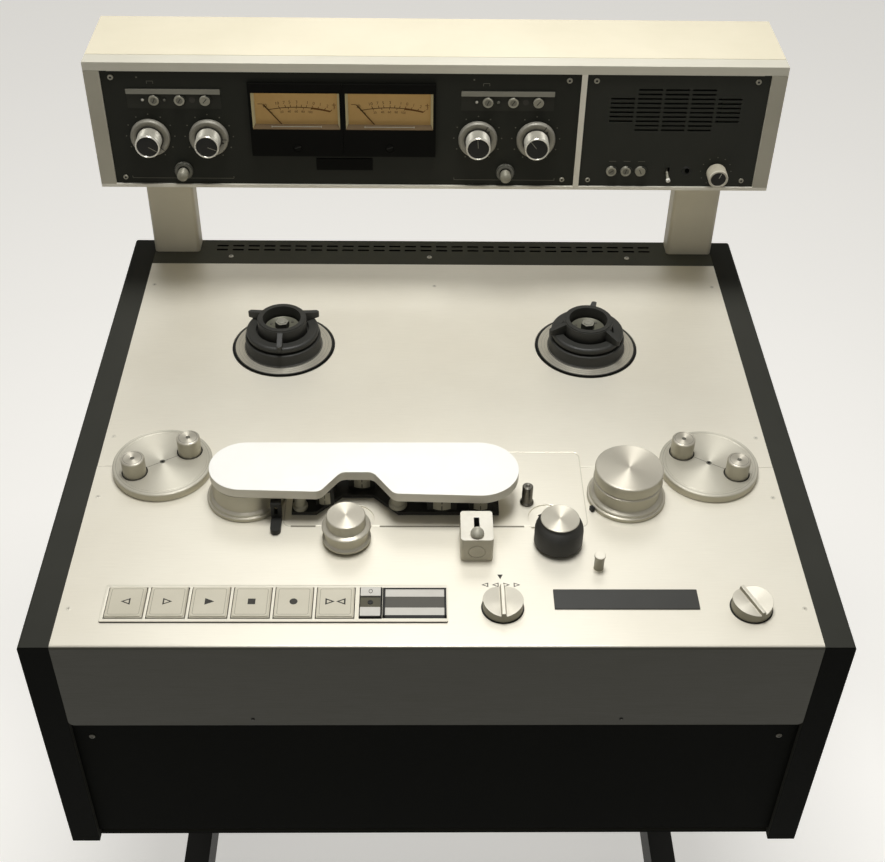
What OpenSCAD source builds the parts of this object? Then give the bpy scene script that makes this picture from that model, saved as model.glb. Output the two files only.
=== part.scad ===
// Studio reel-to-reel tape recorder: a flat tape deck in a case on a stand, with a meter bridge above it.
// Millimetres. The floor is z = 0, y = 0 is the middle of the depth, +X is right and +Y is the back.
// Places on the deck are measured from its middle and its front edge, and heights from its top face.
// Places on the bridge are measured from the middle of each panel and from the bridge's underside.

/* [Deck] */
// Width of the deck between the side panels
deck_w = 620; // [600:1:700]
// Depth of the deck from the apron to the vent strip
deck_d = 547; // [530:1:620]
// Height of the deck's top face above the floor
deck_h = 760; // [700:1:900]
// Thickness of the deck plates
deck_t = 3; // [2.5:0.1:4]
// Height of the apron folded down at the front
apron_h = 100; // [70:1:120]
// Seam between the front and rear deck plates, from the front edge
seam_y = 214.5; // [205:0.5:225]
// Width of the gap left at each seam
seam_gap = 0.5; // [0.2:0.1:1]

/* [Case] */
// Thickness of a side panel
side_t = 25.5; // [18:0.5:35]
// Height of a side panel
side_h = 274; // [250:1:320]
// Depth of the vent strip behind the deck
vent_d = 47; // [44:0.5:60]
// Thickness of the sheet covers
sheet_t = 3; // [2:0.1:4]
// How far the front cover stands back from the apron
front_recess = 5; // [3.5:0.5:12]
// Gap under the front cover
front_lift = 12; // [6:1:30]
// Length of one vent slot
vent_slot_l = 13; // [8:0.5:15]
// Width of one vent slot
vent_slot_w = 3; // [2:0.1:4]
// Distance between neighbouring vent slots
vent_pitch = 17.5; // [16:0.1:19]
// Number of vent slots in a row
vent_count = 28; // [10:1:32]
// Distance between the two rows of vent slots
vent_row_pitch = 8; // [6:0.5:10]
// Height of one louvre in the back cover
louvre_h = 6; // [3:0.5:8]
// Distance between neighbouring louvres
louvre_pitch = 16; // [10:1:24]
// Number of louvres in a row
louvre_count = 6; // [3:1:7]

/* [Chassis] */
// Open space between the deck plates and the chassis plate
chassis_gap = 25; // [22:1:40]
// Thickness of the chassis plate
chassis_t = 10; // [6:0.5:16]
// Width of the chassis walls and ribs
chassis_rib = 10; // [6:0.5:14]
// Wall of a bearing boss
boss_wall = 6; // [4:0.5:7]
// Running clearance around a shaft, on the radius
run_clear = 0.08; // [0.05:0.01:0.1]
// Clearance between moving pieces and their neighbours
move_clear = 0.4; // [0.3:0.05:0.6]

/* [Stand] */
// Height of a levelling foot
foot_h = 50; // [35:1:70]
// Diameter of a foot's pad
foot_d = 48; // [36:1:60]
// Width of a foot rail
rail_w = 30; // [24:1:50]
// Height of a foot rail
rail_h = 50; // [30:1:70]
// From the deck's side edge in to the middle of a rail
rail_inset = 21; // [16:1:60]
// From the front of the case back to the front end of a rail
rail_front = 25; // [0:1:80]
// From the back of the case forward to the back end of a rail
rail_back = 24; // [0:1:80]
// From the front of the case to the front of an upright
upright_y = 340; // [300:1:420]
// Depth of an upright
upright_d = 70; // [50:1:100]
// Height of the beams under the case
beam_h = 25; // [18:1:40]
// Height of the cross beam between the uprights
cross_h = 60; // [30:1:90]
// Height of the cross beam above the rails
cross_lift = 60; // [20:1:150]

/* [Bridge] */
// Gap between the deck and the bridge
bridge_lift = 129; // [100:1:180]
// Height of the bridge
bridge_h = 134; // [130:1:150]
// Depth of the bridge
bridge_d = 104; // [90:1:140]
// Width of the frame at the bridge's ends
bridge_side = 15; // [8:0.5:20]
// Height of the frame above the panels
bridge_top = 9; // [5:0.5:12]
// Height of the frame below the panels
bridge_bottom = 3.5; // [3:0.5:6]
// Depth of the frame round the panels
bridge_frame_d = 17; // [8:0.5:20]
// Width and depth of the seams in the bridge's frame
bridge_seam = 0.7; // [0.4:0.1:1.2]
// Width of the bar between the two panels
divider_w = 5.5; // [4:0.5:10]
// Width of the meter panel
meter_panel_w = 459; // [440:1:470]
// Thickness of the panels
panel_t = 3; // [2:0.1:4]
// How far the panels stand back from the frame
panel_recess = 2; // [1:0.1:4]
// Width of a post
post_w = 50; // [30:1:60]
// Depth of a post
post_d = 25; // [18:1:40]
// From the deck's side to a post
post_inset = 0; // [0:0.5:40]

/* [Level dials] */
// From the middle of the meter panel out to each pair of dials
channel_x = 160.4; // [150:0.1:170]
// Distance between the two dials of a pair
dial_pitch = 57.2; // [50:0.1:62]
// Height of the dials above the bridge's underside
dial_z = 56; // [50:0.5:62]
// Diameter of the marker ring
ring_d = 38.3; // [32:0.1:42]
// Thickness of the marker ring
ring_t = 6; // [4:0.1:9]
// Diameter of the level knob
level_knob_d = 24; // [18:0.1:28]
// Length of the level knob
level_knob_l = 18; // [12:0.5:24]
// Diameter of the ring's sleeve
sleeve_d = 12; // [9:0.1:14]
// Diameter of the knobs' shafts
spindle_d = 6; // [4:0.1:7]
// Diameter of a control body behind the panel
pot_d = 26; // [20:0.5:34]
// Length of a control body behind the panel
pot_l = 24; // [20:0.5:36]

/* [Channel strip] */
// Height of the preset controls above the bridge's underside
preset_z = 95; // [90:0.5:97]
// Distance between the preset controls
preset_pitch = 24.5; // [18:0.1:26]
// From the middle of a channel to the middle preset
preset_shift = 5.4; // [0:0.1:8]
// Diameter of a preset control
preset_d = 10; // [6:0.1:11]
// How far a preset control stands out of the panel
preset_h = 2.5; // [1:0.1:4]
// Width of the light strip over the presets
strip_w = 90; // [70:0.5:100]
// Height of the light strip
strip_h = 5.3; // [3:0.1:7]
// Height of the light strip above the bridge's underside
strip_z = 104; // [102:0.5:108]
// Height of the test button above the bridge's underside
test_z = 19; // [16:0.5:26]
// Diameter of the test button's collar
collar_d = 17.8; // [14:0.1:20]
// How far the collar stands out of the panel
collar_h = 4; // [2:0.1:6]
// Diameter of the test button
test_d = 10.5; // [7:0.1:12]
// Length of the test button in front of its collar
test_l = 11; // [7:0.1:14]

/* [Meters] */
// Width of one meter
meter_w = 90.5; // [80:0.1:94]
// Height of one meter
meter_h = 77; // [70:0.5:84]
// Height of the meters' lower edge above the bridge's underside
meter_z = 37; // [32:0.5:40]
// How far a meter stands out of the panel
meter_front = 4; // [3:0.1:6]
// Depth of a meter behind the panel's front
meter_depth = 38; // [25:0.5:50]
// Width of a meter's window
window_w = 85; // [70:0.1:86]
// Height of a meter's window
window_h = 38.5; // [30:0.1:42]
// From the top of the meter to the top of the window
window_top = 9.5; // [5:0.1:12]
// From the window down to the meter's adjuster screw
adjuster_drop = 19.5; // [12:0.5:22]
// Depth of the space for the needle
needle_space = 7; // [5:0.1:10]
// Length of a needle
needle_l = 50; // [40:0.1:52]
// Length of a needle's tail below its pivot
needle_tail = 8; // [5:0.1:8.5]
// Thickness of a needle
needle_t = 0.9; // [0.6:0.1:1.4]
// Angle of a needle at rest, left of upright
needle_rest = 39.5; // [34:0.5:46]
// Height of the needle's pivot above the meter's lower edge
needle_pivot_z = 14; // [11:0.1:16]

/* [Speaker panel] */
// Width of one grille slot
grille_slot_w = 23; // [16:0.1:24]
// Height of one grille slot
grille_slot_h = 2; // [1.2:0.1:3]
// Distance between neighbouring slots in a row
grille_pitch_x = 26; // [24.5:0.1:28]
// Distance between neighbouring rows
grille_pitch_z = 4.75; // [4:0.05:5]
// Height of the lowest row above the bridge's underside
grille_z = 66; // [60:0.5:70]
// Diameter of the monitor speaker
speaker_d = 92; // [70:1:100]
// Depth of the monitor speaker
speaker_depth = 42; // [30:1:60]
// Height of the controls above the bridge's underside
monitor_z = 21; // [17:0.5:28]
// From the middle of the panel to the volume knob
volume_x = 49; // [40:0.5:60]
// Diameter of the volume knob
volume_d = 20.4; // [14:0.1:24]
// Length of the volume knob
volume_l = 17; // [10:0.5:22]
// From the middle of the panel to the phone socket
jack_x = 21; // [14:0.5:26]
// Diameter of the phone socket's bore
jack_d = 6.5; // [6.4:0.1:6.8]
// Length of the phone socket's barrel
jack_l = 30; // [20:0.5:34]
// Length of the toggle's lever
toggle_l = 13; // [8:0.5:18]
// Diameter of the toggle's ball
toggle_ball_d = 6; // [4:0.1:8]
// Angle of the toggle at rest, down from level
toggle_rest = 13; // [8:1:16]

/* [Reels] */
// Distance between the reel spindles
reel_pitch = 308; // [300:1:330]
// From the front edge to the reel spindles
reel_y = 398; // [390:1:420]
// Diameter of a turntable's flange
flange_d = 100; // [92:0.5:110]
// Thickness of a turntable's flange
flange_t = 4; // [3.2:0.1:6]
// Gap in the deck round a flange
flange_gap = 2; // [1:0.1:4]
// Diameter of a hub
hub_d = 76; // [70:0.1:80]
// Height of the seat under a hub's lock above the deck
hub_base_h = 18; // [17:0.5:19]
// Height of a hub's rim above the deck
hub_h = 22.5; // [21:0.5:25]
// Diameter of a hub's rim
hub_rim_d = 73; // [66:0.1:76]
// Rounding of a hub's rim
hub_rim_r = 3; // [1:0.1:3.4]
// Height of the band below a hub's groove
hub_band_h = 14.5; // [10:0.1:15]
// Width of a hub's groove
hub_groove_w = 2; // [1:0.1:2.4]
// Depth of a hub's groove
hub_groove_t = 3.5; // [2:0.1:5]
// Width over the corners of the nut on a hub
hub_nut_d = 14; // [10:0.1:18]
// Height of that nut
hub_nut_h = 8; // [4:0.1:9]
// Diameter of the hub's boss that the lock turns on
lock_boss_d = 38; // [30:0.5:42]
// Outer diameter of the lock ring
lock_d = 49; // [46:0.1:54]
// Gap between the lock ring and the hub's rim
lock_gap = 1.6; // [0.6:0.1:3]
// From the lock's top down to the plate inside it
lock_sink = 13; // [10:0.5:14]
// Height of the lock's top above the deck
lock_h = 35; // [33:0.5:38]
// Radius at the tips of the lock's wings
wing_r = 41; // [39:0.5:46]
// Width of a wing
wing_w = 5; // [4:0.1:10]
// Height of a wing's tip
wing_tip = 5; // [3:0.1:9]
// Angle of the left lock's first wing
lock_left_a = 30; // [0:1:119]
// Angle of the right lock's first wing
lock_right_a = 75; // [0:1:119]
// Diameter of a reel shaft
reel_shaft_d = 20; // [12:0.5:24]

/* [Tension sensors] */
// Distance between the tension discs
tension_pitch = 498.6; // [490:0.1:510]
// From the front edge to the tension discs
tension_y = 212; // [205:0.5:220]
// Diameter of a tension disc
tension_d = 90; // [80:0.5:96]
// Thickness of a tension disc
tension_t = 8; // [5:0.1:11]
// Angle of the line through a disc's rollers
tension_a = 32; // [20:1:45]
// Radius of the circle that the rollers stand on
roller_orbit = 27; // [22:0.5:31]
// Diameter of a tension roller
roller_d = 21; // [16:0.1:22]
// Gap in the disc round a roller
roller_gap = 1.2; // [0.6:0.1:1.6]
// Depth of the disc's well round a roller
roller_well_t = 2; // [1:0.1:4]
// Height of a tension roller
roller_h = 17; // [12:0.1:24]
// Diameter of a tension roller's pin
roller_pin_d = 6; // [4:0.1:8]
// Diameter of a tension disc's shaft
tension_shaft_d = 12; // [8:0.5:16]

/* [Tape rollers] */
// Distance between the idler and the timer roller
idler_pitch = 339; // [335:0.5:350]
// From the front edge to the idler and the timer roller
idler_y = 176; // [172:0.5:180]
// Diameter of the lower flange of both rollers
idler_flange_d = 70; // [64:0.5:72]
// Thickness of that flange
idler_flange_t = 5; // [3:0.1:7]
// Diameter of the drum that the tape runs on
drum_d = 60; // [50:0.1:62]
// Diameter of the timer roller's cap
timer_cap_d = 60.5; // [54:0.1:66]
// Height of the timer roller's top above the deck
timer_h = 35; // [28:0.5:44]
// Height of the timer roller's cap
timer_cap_h = 12; // [8:0.1:14]
// Diameter of both rollers' shafts
idler_shaft_d = 12; // [8:0.5:16]
// From the middle to the capstan
capstan_x = 80; // [78:0.5:84]
// From the front edge to the capstan
capstan_y = 167.5; // [162:0.5:172]
// Diameter of the capstan
capstan_d = 9.6; // [6:0.1:11]
// Height of the capstan above the deck
capstan_h = 20; // [14:0.5:28]
// Diameter of the capstan's shaft under the deck
capstan_shaft_d = 8; // [5:0.1:9]

/* [Swing arms] */
// From the middle to the pinch arm's pivot
pinch_pivot_x = 154.8; // [152:0.1:158]
// From the front edge to the pinch arm's pivot
pinch_pivot_y = 143; // [139:0.1:146]
// Length of the pinch arm from its pivot to its roller
pinch_arm_l = 56.84; // [55:0.01:58]
// Angle of the pinch arm at rest
pinch_rest = 206.7; // [204:0.1:210]
// Angle that the pinch arm swings through
pinch_swing = 32; // [20:0.5:32]
// From the middle to the guide arm's pivot
guide_pivot_x = -22; // [-26:0.1:-18]
// From the front edge to the guide arm's pivot
guide_pivot_y = 120; // [116:0.1:124]
// Length of the guide arm from its pivot to its roller
guide_arm_l = 56.4; // [54:0.01:59]
// Angle of the guide arm at rest
guide_rest = 179; // [177:0.1:182]
// Angle that the guide arm swings through
guide_swing = 27; // [18:0.5:28]
// Width of an arm
arm_w = 18; // [14:0.5:22]
// Thickness of an arm
arm_t = 8; // [5:0.1:10]
// From the deck plates down to the top of an arm
arm_drop = 11; // [6:0.1:12]
// Diameter of an arm's pivot shaft
arm_shaft_d = 10; // [6:0.1:12]
// Diameter of an arm's spindle where it passes the deck
arm_spindle_d = 10; // [9:0.1:13]
// Diameter of a spindle inside its roller
arm_pin_d = 8; // [5:0.1:8.5]
// Diameter of the swing rollers' flanges and rubber
swing_d = 42; // [36:0.1:42]
// Height of the swing rollers' rims above their shoulders
swing_lip = 3; // [0.8:0.1:4]
// Diameter of the swing rollers' caps
swing_cap_d = 33.5; // [28:0.1:35]
// Height of the swing rollers above the deck
swing_h = 29.5; // [26:0.1:32]
// Gap between the deck and a swing roller
swing_gap = 2; // [1.2:0.1:4]
// Radius of the shallow recess along an arm's slot
recess_r = 17; // [14:0.1:19]
// Depth of that recess
recess_t = 1.4; // [0.8:0.1:1.8]

/* [Head block] */
// Left edge of the head plate
head_left = -134; // [-136:0.5:-130]
// Right edge of the head plate
head_right = 131.5; // [128:0.5:133]
// Front edge of the head plate
head_front = 137.3; // [135:0.1:139]
// Back edge of the head plate
head_back = 234; // [230:0.5:244]
// Gap in the deck round the head plate
head_gap = 0.9; // [0.3:0.1:1.5]
// Height of the head cover's top above the deck
cover_h = 35; // [32:0.5:40]
// Thickness of the head cover
cover_t = 9.5; // [6:0.1:12]
// Radius of the head cover's left end
cover_left_r = 31; // [28:0.1:33]
// Radius of the head cover's right end
cover_right_r = 34.7; // [32:0.1:36]
// From the middle to the centre of the head cover's right end
cover_right_x = 37; // [33:0.5:38]
// From the front edge to the centre of the head cover's right end
cover_right_y = 174; // [172:0.5:177]
// Width of the head cover's notch at its bottom
notch_w = 28; // [24:0.5:32]
// Width of the head cover's notch at its mouth
notch_mouth_w = 64; // [58:0.5:70]
// From the middle to the middle of the notch
notch_x = -70.5; // [-74:0.5:-67]
// From the front edge to the bottom of the notch
notch_y = 168.8; // [167:0.1:172]
// Rounding of the notch's corners
notch_r = 9; // [5:0.5:11]
// Thickness of the head block's base
base_t = 4; // [2:0.1:6]
// How far the base stands back under the cover
base_inset = 4; // [2:0.5:8]
// From the middle to the first guide post
post_1_x = -120.5; // [-122:0.5:-116]
// From the front edge to the first guide post
post_1_y = 157; // [155:0.5:160]
// Diameter of the first guide post
post_1_d = 13; // [10:0.5:14]
// From the middle to the erase head
erase_x = -99; // [-101:0.5:-97]
// From the front edge to the erase head
erase_y = 159; // [157:0.5:163]
// Width of the erase head
erase_w = 16; // [12:0.5:18]
// Depth of the erase head
erase_d = 30; // [20:0.5:34]
// From the middle to the record head
record_x = -67; // [-70:0.5:-64]
// From the front edge to the record head
record_y = 181; // [178:0.5:184]
// Width of the record head
record_w = 24; // [18:0.5:26]
// Depth of the record head
record_d = 22; // [16:0.5:24]
// From the middle to the second guide post
post_2_x = -34.7; // [-37:0.1:-33]
// From the front edge to the second guide post
post_2_y = 160; // [158:0.5:164]
// Diameter of the second guide post
post_2_d = 16; // [12:0.5:18]
// From the middle to the replay head
replay_x = 4; // [2:0.5:6]
// Width of the replay head
replay_w = 26; // [20:0.5:28]
// From the middle to the last head
last_x = 38; // [36:0.5:40]
// Width of the last head
last_w = 20; // [16:0.5:22]
// From the front edge to the replay head and the last head
replay_y = 153; // [151:0.5:156]
// Depth of the replay head and the last head
replay_d = 34; // [24:0.5:35]

/* [Deck fittings] */
// Width of the tape cutter
cutter_w = 27.7; // [22:0.1:34]
// Depth of the tape cutter
cutter_d = 35.5; // [30:0.1:40]
// Height of the tape cutter
cutter_h = 25; // [18:0.5:25]
// From the middle to the tape cutter
cutter_x = 33; // [28:0.5:38]
// From the front edge to the tape cutter's front
cutter_y = 95.3; // [92:0.1:97]
// Travel of the cutter's knob
cutter_travel = 18; // [6:0.5:20]
// From the tape cutter's front to its slot
cutter_slot_front = 4; // [3:0.1:6]
// Diameter of the cutter's domed knob
cutter_knob_d = 11.6; // [8:0.1:13]
// Height of the cutter's domed knob
cutter_knob_h = 7; // [5:0.1:9]
// Width of the cutter's slot
cutter_slot_w = 4.4; // [3.5:0.1:6]
// From the middle to the lifter lever's pivot
lifter_x = -140.5; // [-142:0.1:-139]
// From the front edge to the lifter lever's pivot
lifter_y = 145.5; // [144:0.1:146.5]
// Width of the lifter lever
lifter_w = 9; // [7:0.1:10]
// Length of the lifter lever in front of its pivot
lifter_l = 20; // [14:0.5:26]
// Height of the lifter lever's post
lifter_h = 21; // [14:0.5:23]
// From the middle to the tape guide pin
pin_x = 136.2; // [130:0.1:142]
// From the front edge to the tape guide pin
pin_y = 87; // [82:0.5:92]
// Diameter of the tape guide pin
pin_d = 9.6; // [6:0.1:12]
// Height of the tape guide pin
pin_h = 16; // [10:0.5:24]

/* [Keys and counter] */
// From the deck's left side to the key frame
keys_inset = 35; // [30:0.5:45]
// Width of the key frame
keys_w = 282.6; // [278:0.1:290]
// Front edge of the key frame
keys_front = 26; // [20:0.5:32]
// Depth of the key frame
keys_d = 40; // [39:0.1:46]
// Height of the key frame above the deck
keys_rim = 1.8; // [1:0.1:3]
// Depth of the key frame's tray under the deck
keys_tray = 18; // [16:0.5:21]
// Thickness of the tray's floor
keys_floor = 4; // [3:0.1:6]
// Width of a key
key_w = 30.7; // [26:0.1:31.5]
// Depth of a key
key_d = 33; // [30:0.1:34]
// Gap in the key frame round a key
key_gap = 0.7; // [0.3:0.1:0.9]
// Distance between neighbouring keys
key_pitch = 34.3; // [33.5:0.1:35]
// From the frame's left edge to the middle of the first key
key_first = 19; // [18:0.1:22]
// Height of a key above the deck
key_h = 3.6; // [3:0.1:7]
// Depth of a key below the deck
key_skirt = 6; // [4:0.1:8]
// Travel of a key
key_travel = 3; // [1.5:0.1:3.5]
// Diameter of a key's stem
key_stem_d = 6; // [4:0.1:8]
// Width of the counter's rocker
rocker_w = 17.5; // [14:0.1:18]
// Length of the counter's rocker
rocker_d = 33; // [28:0.1:34]
// Diameter of the rocker's trunnions
rocker_pin_d = 4; // [3:0.1:5]
// Width of the counter's window
counter_w = 52; // [40:0.5:53]

/* [Deck knobs] */
// Diameter of the two deck knobs
deck_knob_d = 33.4; // [26:0.1:40]
// Height of the deck knobs
deck_knob_h = 11; // [8:0.1:16]
// Width of the grip bar on a deck knob
grip_w = 4.4; // [3:0.1:7]
// Depth of the finger scoops beside the bar
scoop = 3.4; // [1:0.1:5]
// From the key frame to the middle of the shuttle knob
shuttle_gap = 45.2; // [40:0.1:52]
// From the deck's right side to the middle of the selector knob
selector_inset = 52; // [44:0.5:60]
// From the front edge to the deck knobs
deck_knob_y = 42.5; // [38:0.5:50]
// Angle of the selector knob at rest
selector_a = 23; // [0:1:45]

/* [Motors] */
// Diameter of a reel motor
reel_motor_d = 124; // [100:1:140]
// Length of a reel motor
reel_motor_l = 96; // [70:1:130]
// Diameter of the capstan motor
capstan_motor_d = 96; // [80:1:110]
// Length of the capstan motor
capstan_motor_l = 104; // [80:1:140]
// How far a drive shaft reaches into its motor
motor_shaft_l = 24; // [12:1:40]

/* [Hidden] */
$fn = 64;
eps = 0.01;
body_d = deck_d + vent_d;
front_y = -body_d / 2;
half_w = deck_w / 2;
bridge_w = deck_w + 2 * side_t;
case_bottom = deck_h - side_h;
chassis_top = -deck_t - chassis_gap;
chassis_bottom = chassis_top - chassis_t;
arm_top = -deck_t - arm_drop;
arm_bottom = arm_top - arm_t;
bridge_front = body_d - bridge_d;
panel_depth = bridge_front + panel_recess;
speaker_panel_w = bridge_w - 2 * bridge_side - divider_w - meter_panel_w;
panel_h = bridge_h - bridge_top - bridge_bottom;
meter_panel_x = -bridge_w / 2 + bridge_side + meter_panel_w / 2;
speaker_panel_x = bridge_w / 2 - bridge_side - speaker_panel_w / 2;
reel_x = reel_pitch / 2;
tension_x = tension_pitch / 2;
idler_x = idler_pitch / 2;
cover_under = cover_h - cover_t;
pinch_x = pinch_pivot_x + pinch_arm_l * cos(pinch_rest);
pinch_y = pinch_pivot_y + pinch_arm_l * sin(pinch_rest);
guide_x = guide_pivot_x + guide_arm_l * cos(guide_rest);
guide_y = guide_pivot_y + guide_arm_l * sin(guide_rest);
boss_top = -deck_t - 3;
arm_boss_top = arm_bottom - move_clear;
knob_shaft_d = spindle_d;
lifter_shaft_d = 5;
post_span = deck_w - post_w - 2 * post_inset;
keys_left = keys_inset - half_w;
shuttle_x = keys_left + keys_w + shuttle_gap;
selector_x = half_w - selector_inset;
key_y = keys_front + keys_d / 2;
rocker_x = keys_left + key_first + 5 * key_pitch + key_pitch / 2 + rocker_w / 2 + 3;
counter_x = rocker_x + rocker_w / 2 + 1.5 + counter_w / 2;
channels = [-1, 1];

// Shafts that turn in the chassis: place on the deck, diameter, and top of the boss round them
bearings = [
  [-reel_x, reel_y, reel_shaft_d, boss_top],
  [reel_x, reel_y, reel_shaft_d, boss_top],
  [-tension_x, tension_y, tension_shaft_d, boss_top],
  [tension_x, tension_y, tension_shaft_d, boss_top],
  [-idler_x, idler_y, idler_shaft_d, boss_top],
  [idler_x, idler_y, idler_shaft_d, boss_top],
  [capstan_x, capstan_y, capstan_shaft_d, boss_top],
  [pinch_pivot_x, pinch_pivot_y, arm_shaft_d, arm_boss_top],
  [guide_pivot_x, guide_pivot_y, arm_shaft_d, arm_boss_top],
  [lifter_x, lifter_y, lifter_shaft_d, boss_top],
  [shuttle_x, deck_knob_y, knob_shaft_d, boss_top],
  [selector_x, deck_knob_y, knob_shaft_d, boss_top],
];

// Finishes
satin_aluminium = [0.83, 0.81, 0.75];
turned_aluminium = [0.72, 0.70, 0.66];
charcoal = [0.24, 0.24, 0.23];
black_paint = [0.12, 0.12, 0.11];
cream_paint = [0.95, 0.92, 0.82];
beige_grey = [0.51, 0.48, 0.42];
black_plastic = [0.10, 0.10, 0.10];
key_plastic = [0.74, 0.70, 0.62];
cast_grey = [0.45, 0.45, 0.44];

// Puts things on the deck: x from the middle, y from the front edge, z from the top face
module on_deck(x, y) {
  translate([x, front_y + y, deck_h]) children();
}

// Puts things on a bridge panel: x from the middle, z from the bridge's underside, local z to the front
module on_panel(x, z) {
  translate([x, front_y + panel_depth, deck_h + bridge_lift + z]) rotate([90, 0, 0]) children();
}

// Rectangle with round corners, centred
module round_rect(w, d, r) {
  square([w - 2 * r, d], center = true);
  square([w, d - 2 * r], center = true);
  for (sx = [-1, 1], sy = [-1, 1])
    translate([sx * (w / 2 - r), sy * (d / 2 - r)]) circle(r);
}

// Upright block with round corners
module slab(w, d, h, r) {
  linear_extrude(h) round_rect(w, d, r);
}

// Upright slot shape with round ends, along Y
module capsule(r, reach, h) {
  linear_extrude(h) {
    square([2 * r, reach], center = true);
    for (s = [-1, 1]) translate([0, s * reach / 2]) circle(r);
  }
}

// Cylinder between two heights
module rod(d, z0, z1) {
  translate([0, 0, z0]) cylinder(d = d, h = z1 - z0);
}

// Opening that an arm's spindle swings along: a through slot in a shallow recess
module swing_slot(x, y, radius, angle0, angle1) {
  half = (angle1 - angle0) / 2;
  sag = radius * (1 - cos(half));
  slot_r = arm_spindle_d / 2 + sag / 2 + move_clear + 0.2;
  reach = 2 * radius * sin(half);
  on_deck(x, y) rotate([0, 0, (angle0 + angle1) / 2]) translate([radius - sag / 2, 0, 0]) {
    translate([-slot_r, -reach / 2 - slot_r, -2 * deck_t])
      cube([2 * slot_r, reach + 2 * slot_r, 3 * deck_t]);
    translate([0, 0, -recess_t]) capsule(recess_r, reach, deck_t);
  }
}

module swing_slots() {
  swing_slot(pinch_pivot_x, pinch_pivot_y, pinch_arm_l, pinch_rest - pinch_swing, pinch_rest);
  swing_slot(guide_pivot_x, guide_pivot_y, guide_arm_l, guide_rest - guide_swing, guide_rest);
}

// Holes through the deck plates for every shaft that comes up from the chassis
module shaft_holes() {
  for (b = bearings)
    if (b[3] == boss_top)
      on_deck(b[0], b[1]) rod(b[2] + 2 * move_clear + 1, -2 * deck_t, deck_t);
  for (s = [-1, 1])
    on_deck(s * reel_x, reel_y) rod(flange_d + 2 * flange_gap, -2 * deck_t, deck_t);
}

// Shape of the head plate, or of the opening for it in the deck plates, from a depth below the deck
module head_slab(gap, low, h) {
  on_deck((head_left + head_right) / 2, (head_front + head_back) / 2)
    translate([0, 0, low])
      slab(head_right - head_left + 2 * gap, head_back - head_front + 2 * gap, h, 6);
}

module deck_plate_rear() {
  color(satin_aluminium) difference() {
    on_deck(-half_w, seam_y + seam_gap / 2)
      translate([0, 0, -deck_t])
        cube([deck_w, deck_d - seam_y - seam_gap, deck_t]);
    shaft_holes();
    head_slab(head_gap, -2 * deck_t, 3 * deck_t);
  }
}

module deck_plate_front() {
  corner_r = 5;
  color(satin_aluminium) {
    difference() {
      union() {
        on_deck(-half_w, deck_t) translate([0, 0, -deck_t])
          cube([deck_w, seam_y - seam_gap / 2 - deck_t, deck_t]);
        on_deck(-half_w, deck_t) translate([0, 0, -deck_t]) rotate([0, 90, 0]) intersection() {
          cylinder(r = deck_t, h = deck_w);
          translate([-deck_t, -deck_t, 0]) cube([deck_t, deck_t, deck_w]);
        }
        on_deck(0, deck_t) translate([0, 0, -apron_h / 2 - deck_t / 2])
          rotate([90, 0, 0]) apron_sheet(corner_r);
      }
      shaft_holes();
      head_slab(head_gap, -2 * deck_t, 3 * deck_t);
      swing_slots();
      on_deck(keys_left + keys_w / 2, key_y) translate([0, 0, -2 * deck_t])
        slab(keys_w - 6, keys_d - 4, 3 * deck_t, 1);
    }
    on_deck(pin_x, pin_y) rotate_extrude() polygon([
      [0, -deck_t / 2], [pin_d / 2, -deck_t / 2], [pin_d / 2 - 0.6, 1], [pin_d / 2 - 0.6, pin_h - 2.4],
      [pin_d / 2, pin_h - 1.6], [pin_d / 2, pin_h - 0.5], [pin_d / 2 - 0.5, pin_h], [0, pin_h],
    ]);
  }
}

// The folded front of the deck, with its two lower corners rounded
module apron_sheet(corner_r) {
  h = apron_h - deck_t;
  linear_extrude(deck_t) {
    translate([0, corner_r / 2]) square([deck_w, h - corner_r], center = true);
    square([deck_w - 2 * corner_r, h], center = true);
    for (s = [-1, 1]) translate([s * (deck_w / 2 - corner_r), corner_r - h / 2]) circle(corner_r);
  }
}

module head_plate() {
  color(satin_aluminium) difference() {
    head_slab(0, -deck_t, deck_t);
    shaft_holes();
    swing_slots();
  }
}

// Outline of the head cover, seen from above: two round ends and a notch in front of the heads
module cover_outline() {
  left = [-idler_x, idler_y + 1];
  right = [cover_right_x, cover_right_y];
  slope_d = 26;
  difference() {
    union() {
      translate(left) circle(cover_left_r);
      translate(right) circle(cover_right_r);
      polygon([
        left - [0, cover_left_r], right - [0, cover_right_r],
        right + [0, cover_right_r], left + [0, cover_left_r],
      ]);
    }
    translate([notch_x, notch_y]) polygon([
      [-notch_w / 2, 0], [notch_w / 2, 0], [notch_mouth_w / 2, -slope_d], [notch_mouth_w / 2, -2 * slope_d],
      [-notch_mouth_w / 2, -2 * slope_d], [-notch_mouth_w / 2, -slope_d],
    ]);
  }
}

// The same outline with the notch's corners rounded
module cover_shape() {
  offset(r = notch_r) offset(r = -2 * notch_r) offset(r = notch_r) cover_outline();
}

// Feet that carry the cover on the head block's base
cover_feet = [[-118, 190, 9], [-20, 196, 9], [44, 194, 9]];

module head_cover() {
  color([0.93, 0.93, 0.91]) on_deck(0, 0) {
    translate([0, 0, cover_under]) linear_extrude(cover_t) cover_shape();
    for (f = cover_feet)
      translate([f[0], f[1], 0]) rod(f[2], base_t, cover_under + eps);
  }
}

// One head: a screening can with a rounded face towards the tape
module head_can(x, y, w, d) {
  top = cover_under - 1;
  translate([x, y, 0]) {
    translate([-w / 2, 0, base_t - eps]) cube([w, d, top - base_t]);
    intersection() {
      translate([0, w * 0.55, base_t - eps]) cylinder(r = w * 0.62, h = top - base_t - 3);
      translate([-w * 0.36, -w, base_t - eps]) cube([w * 0.72, 2 * w, top - base_t - 3]);
    }
  }
}

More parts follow.
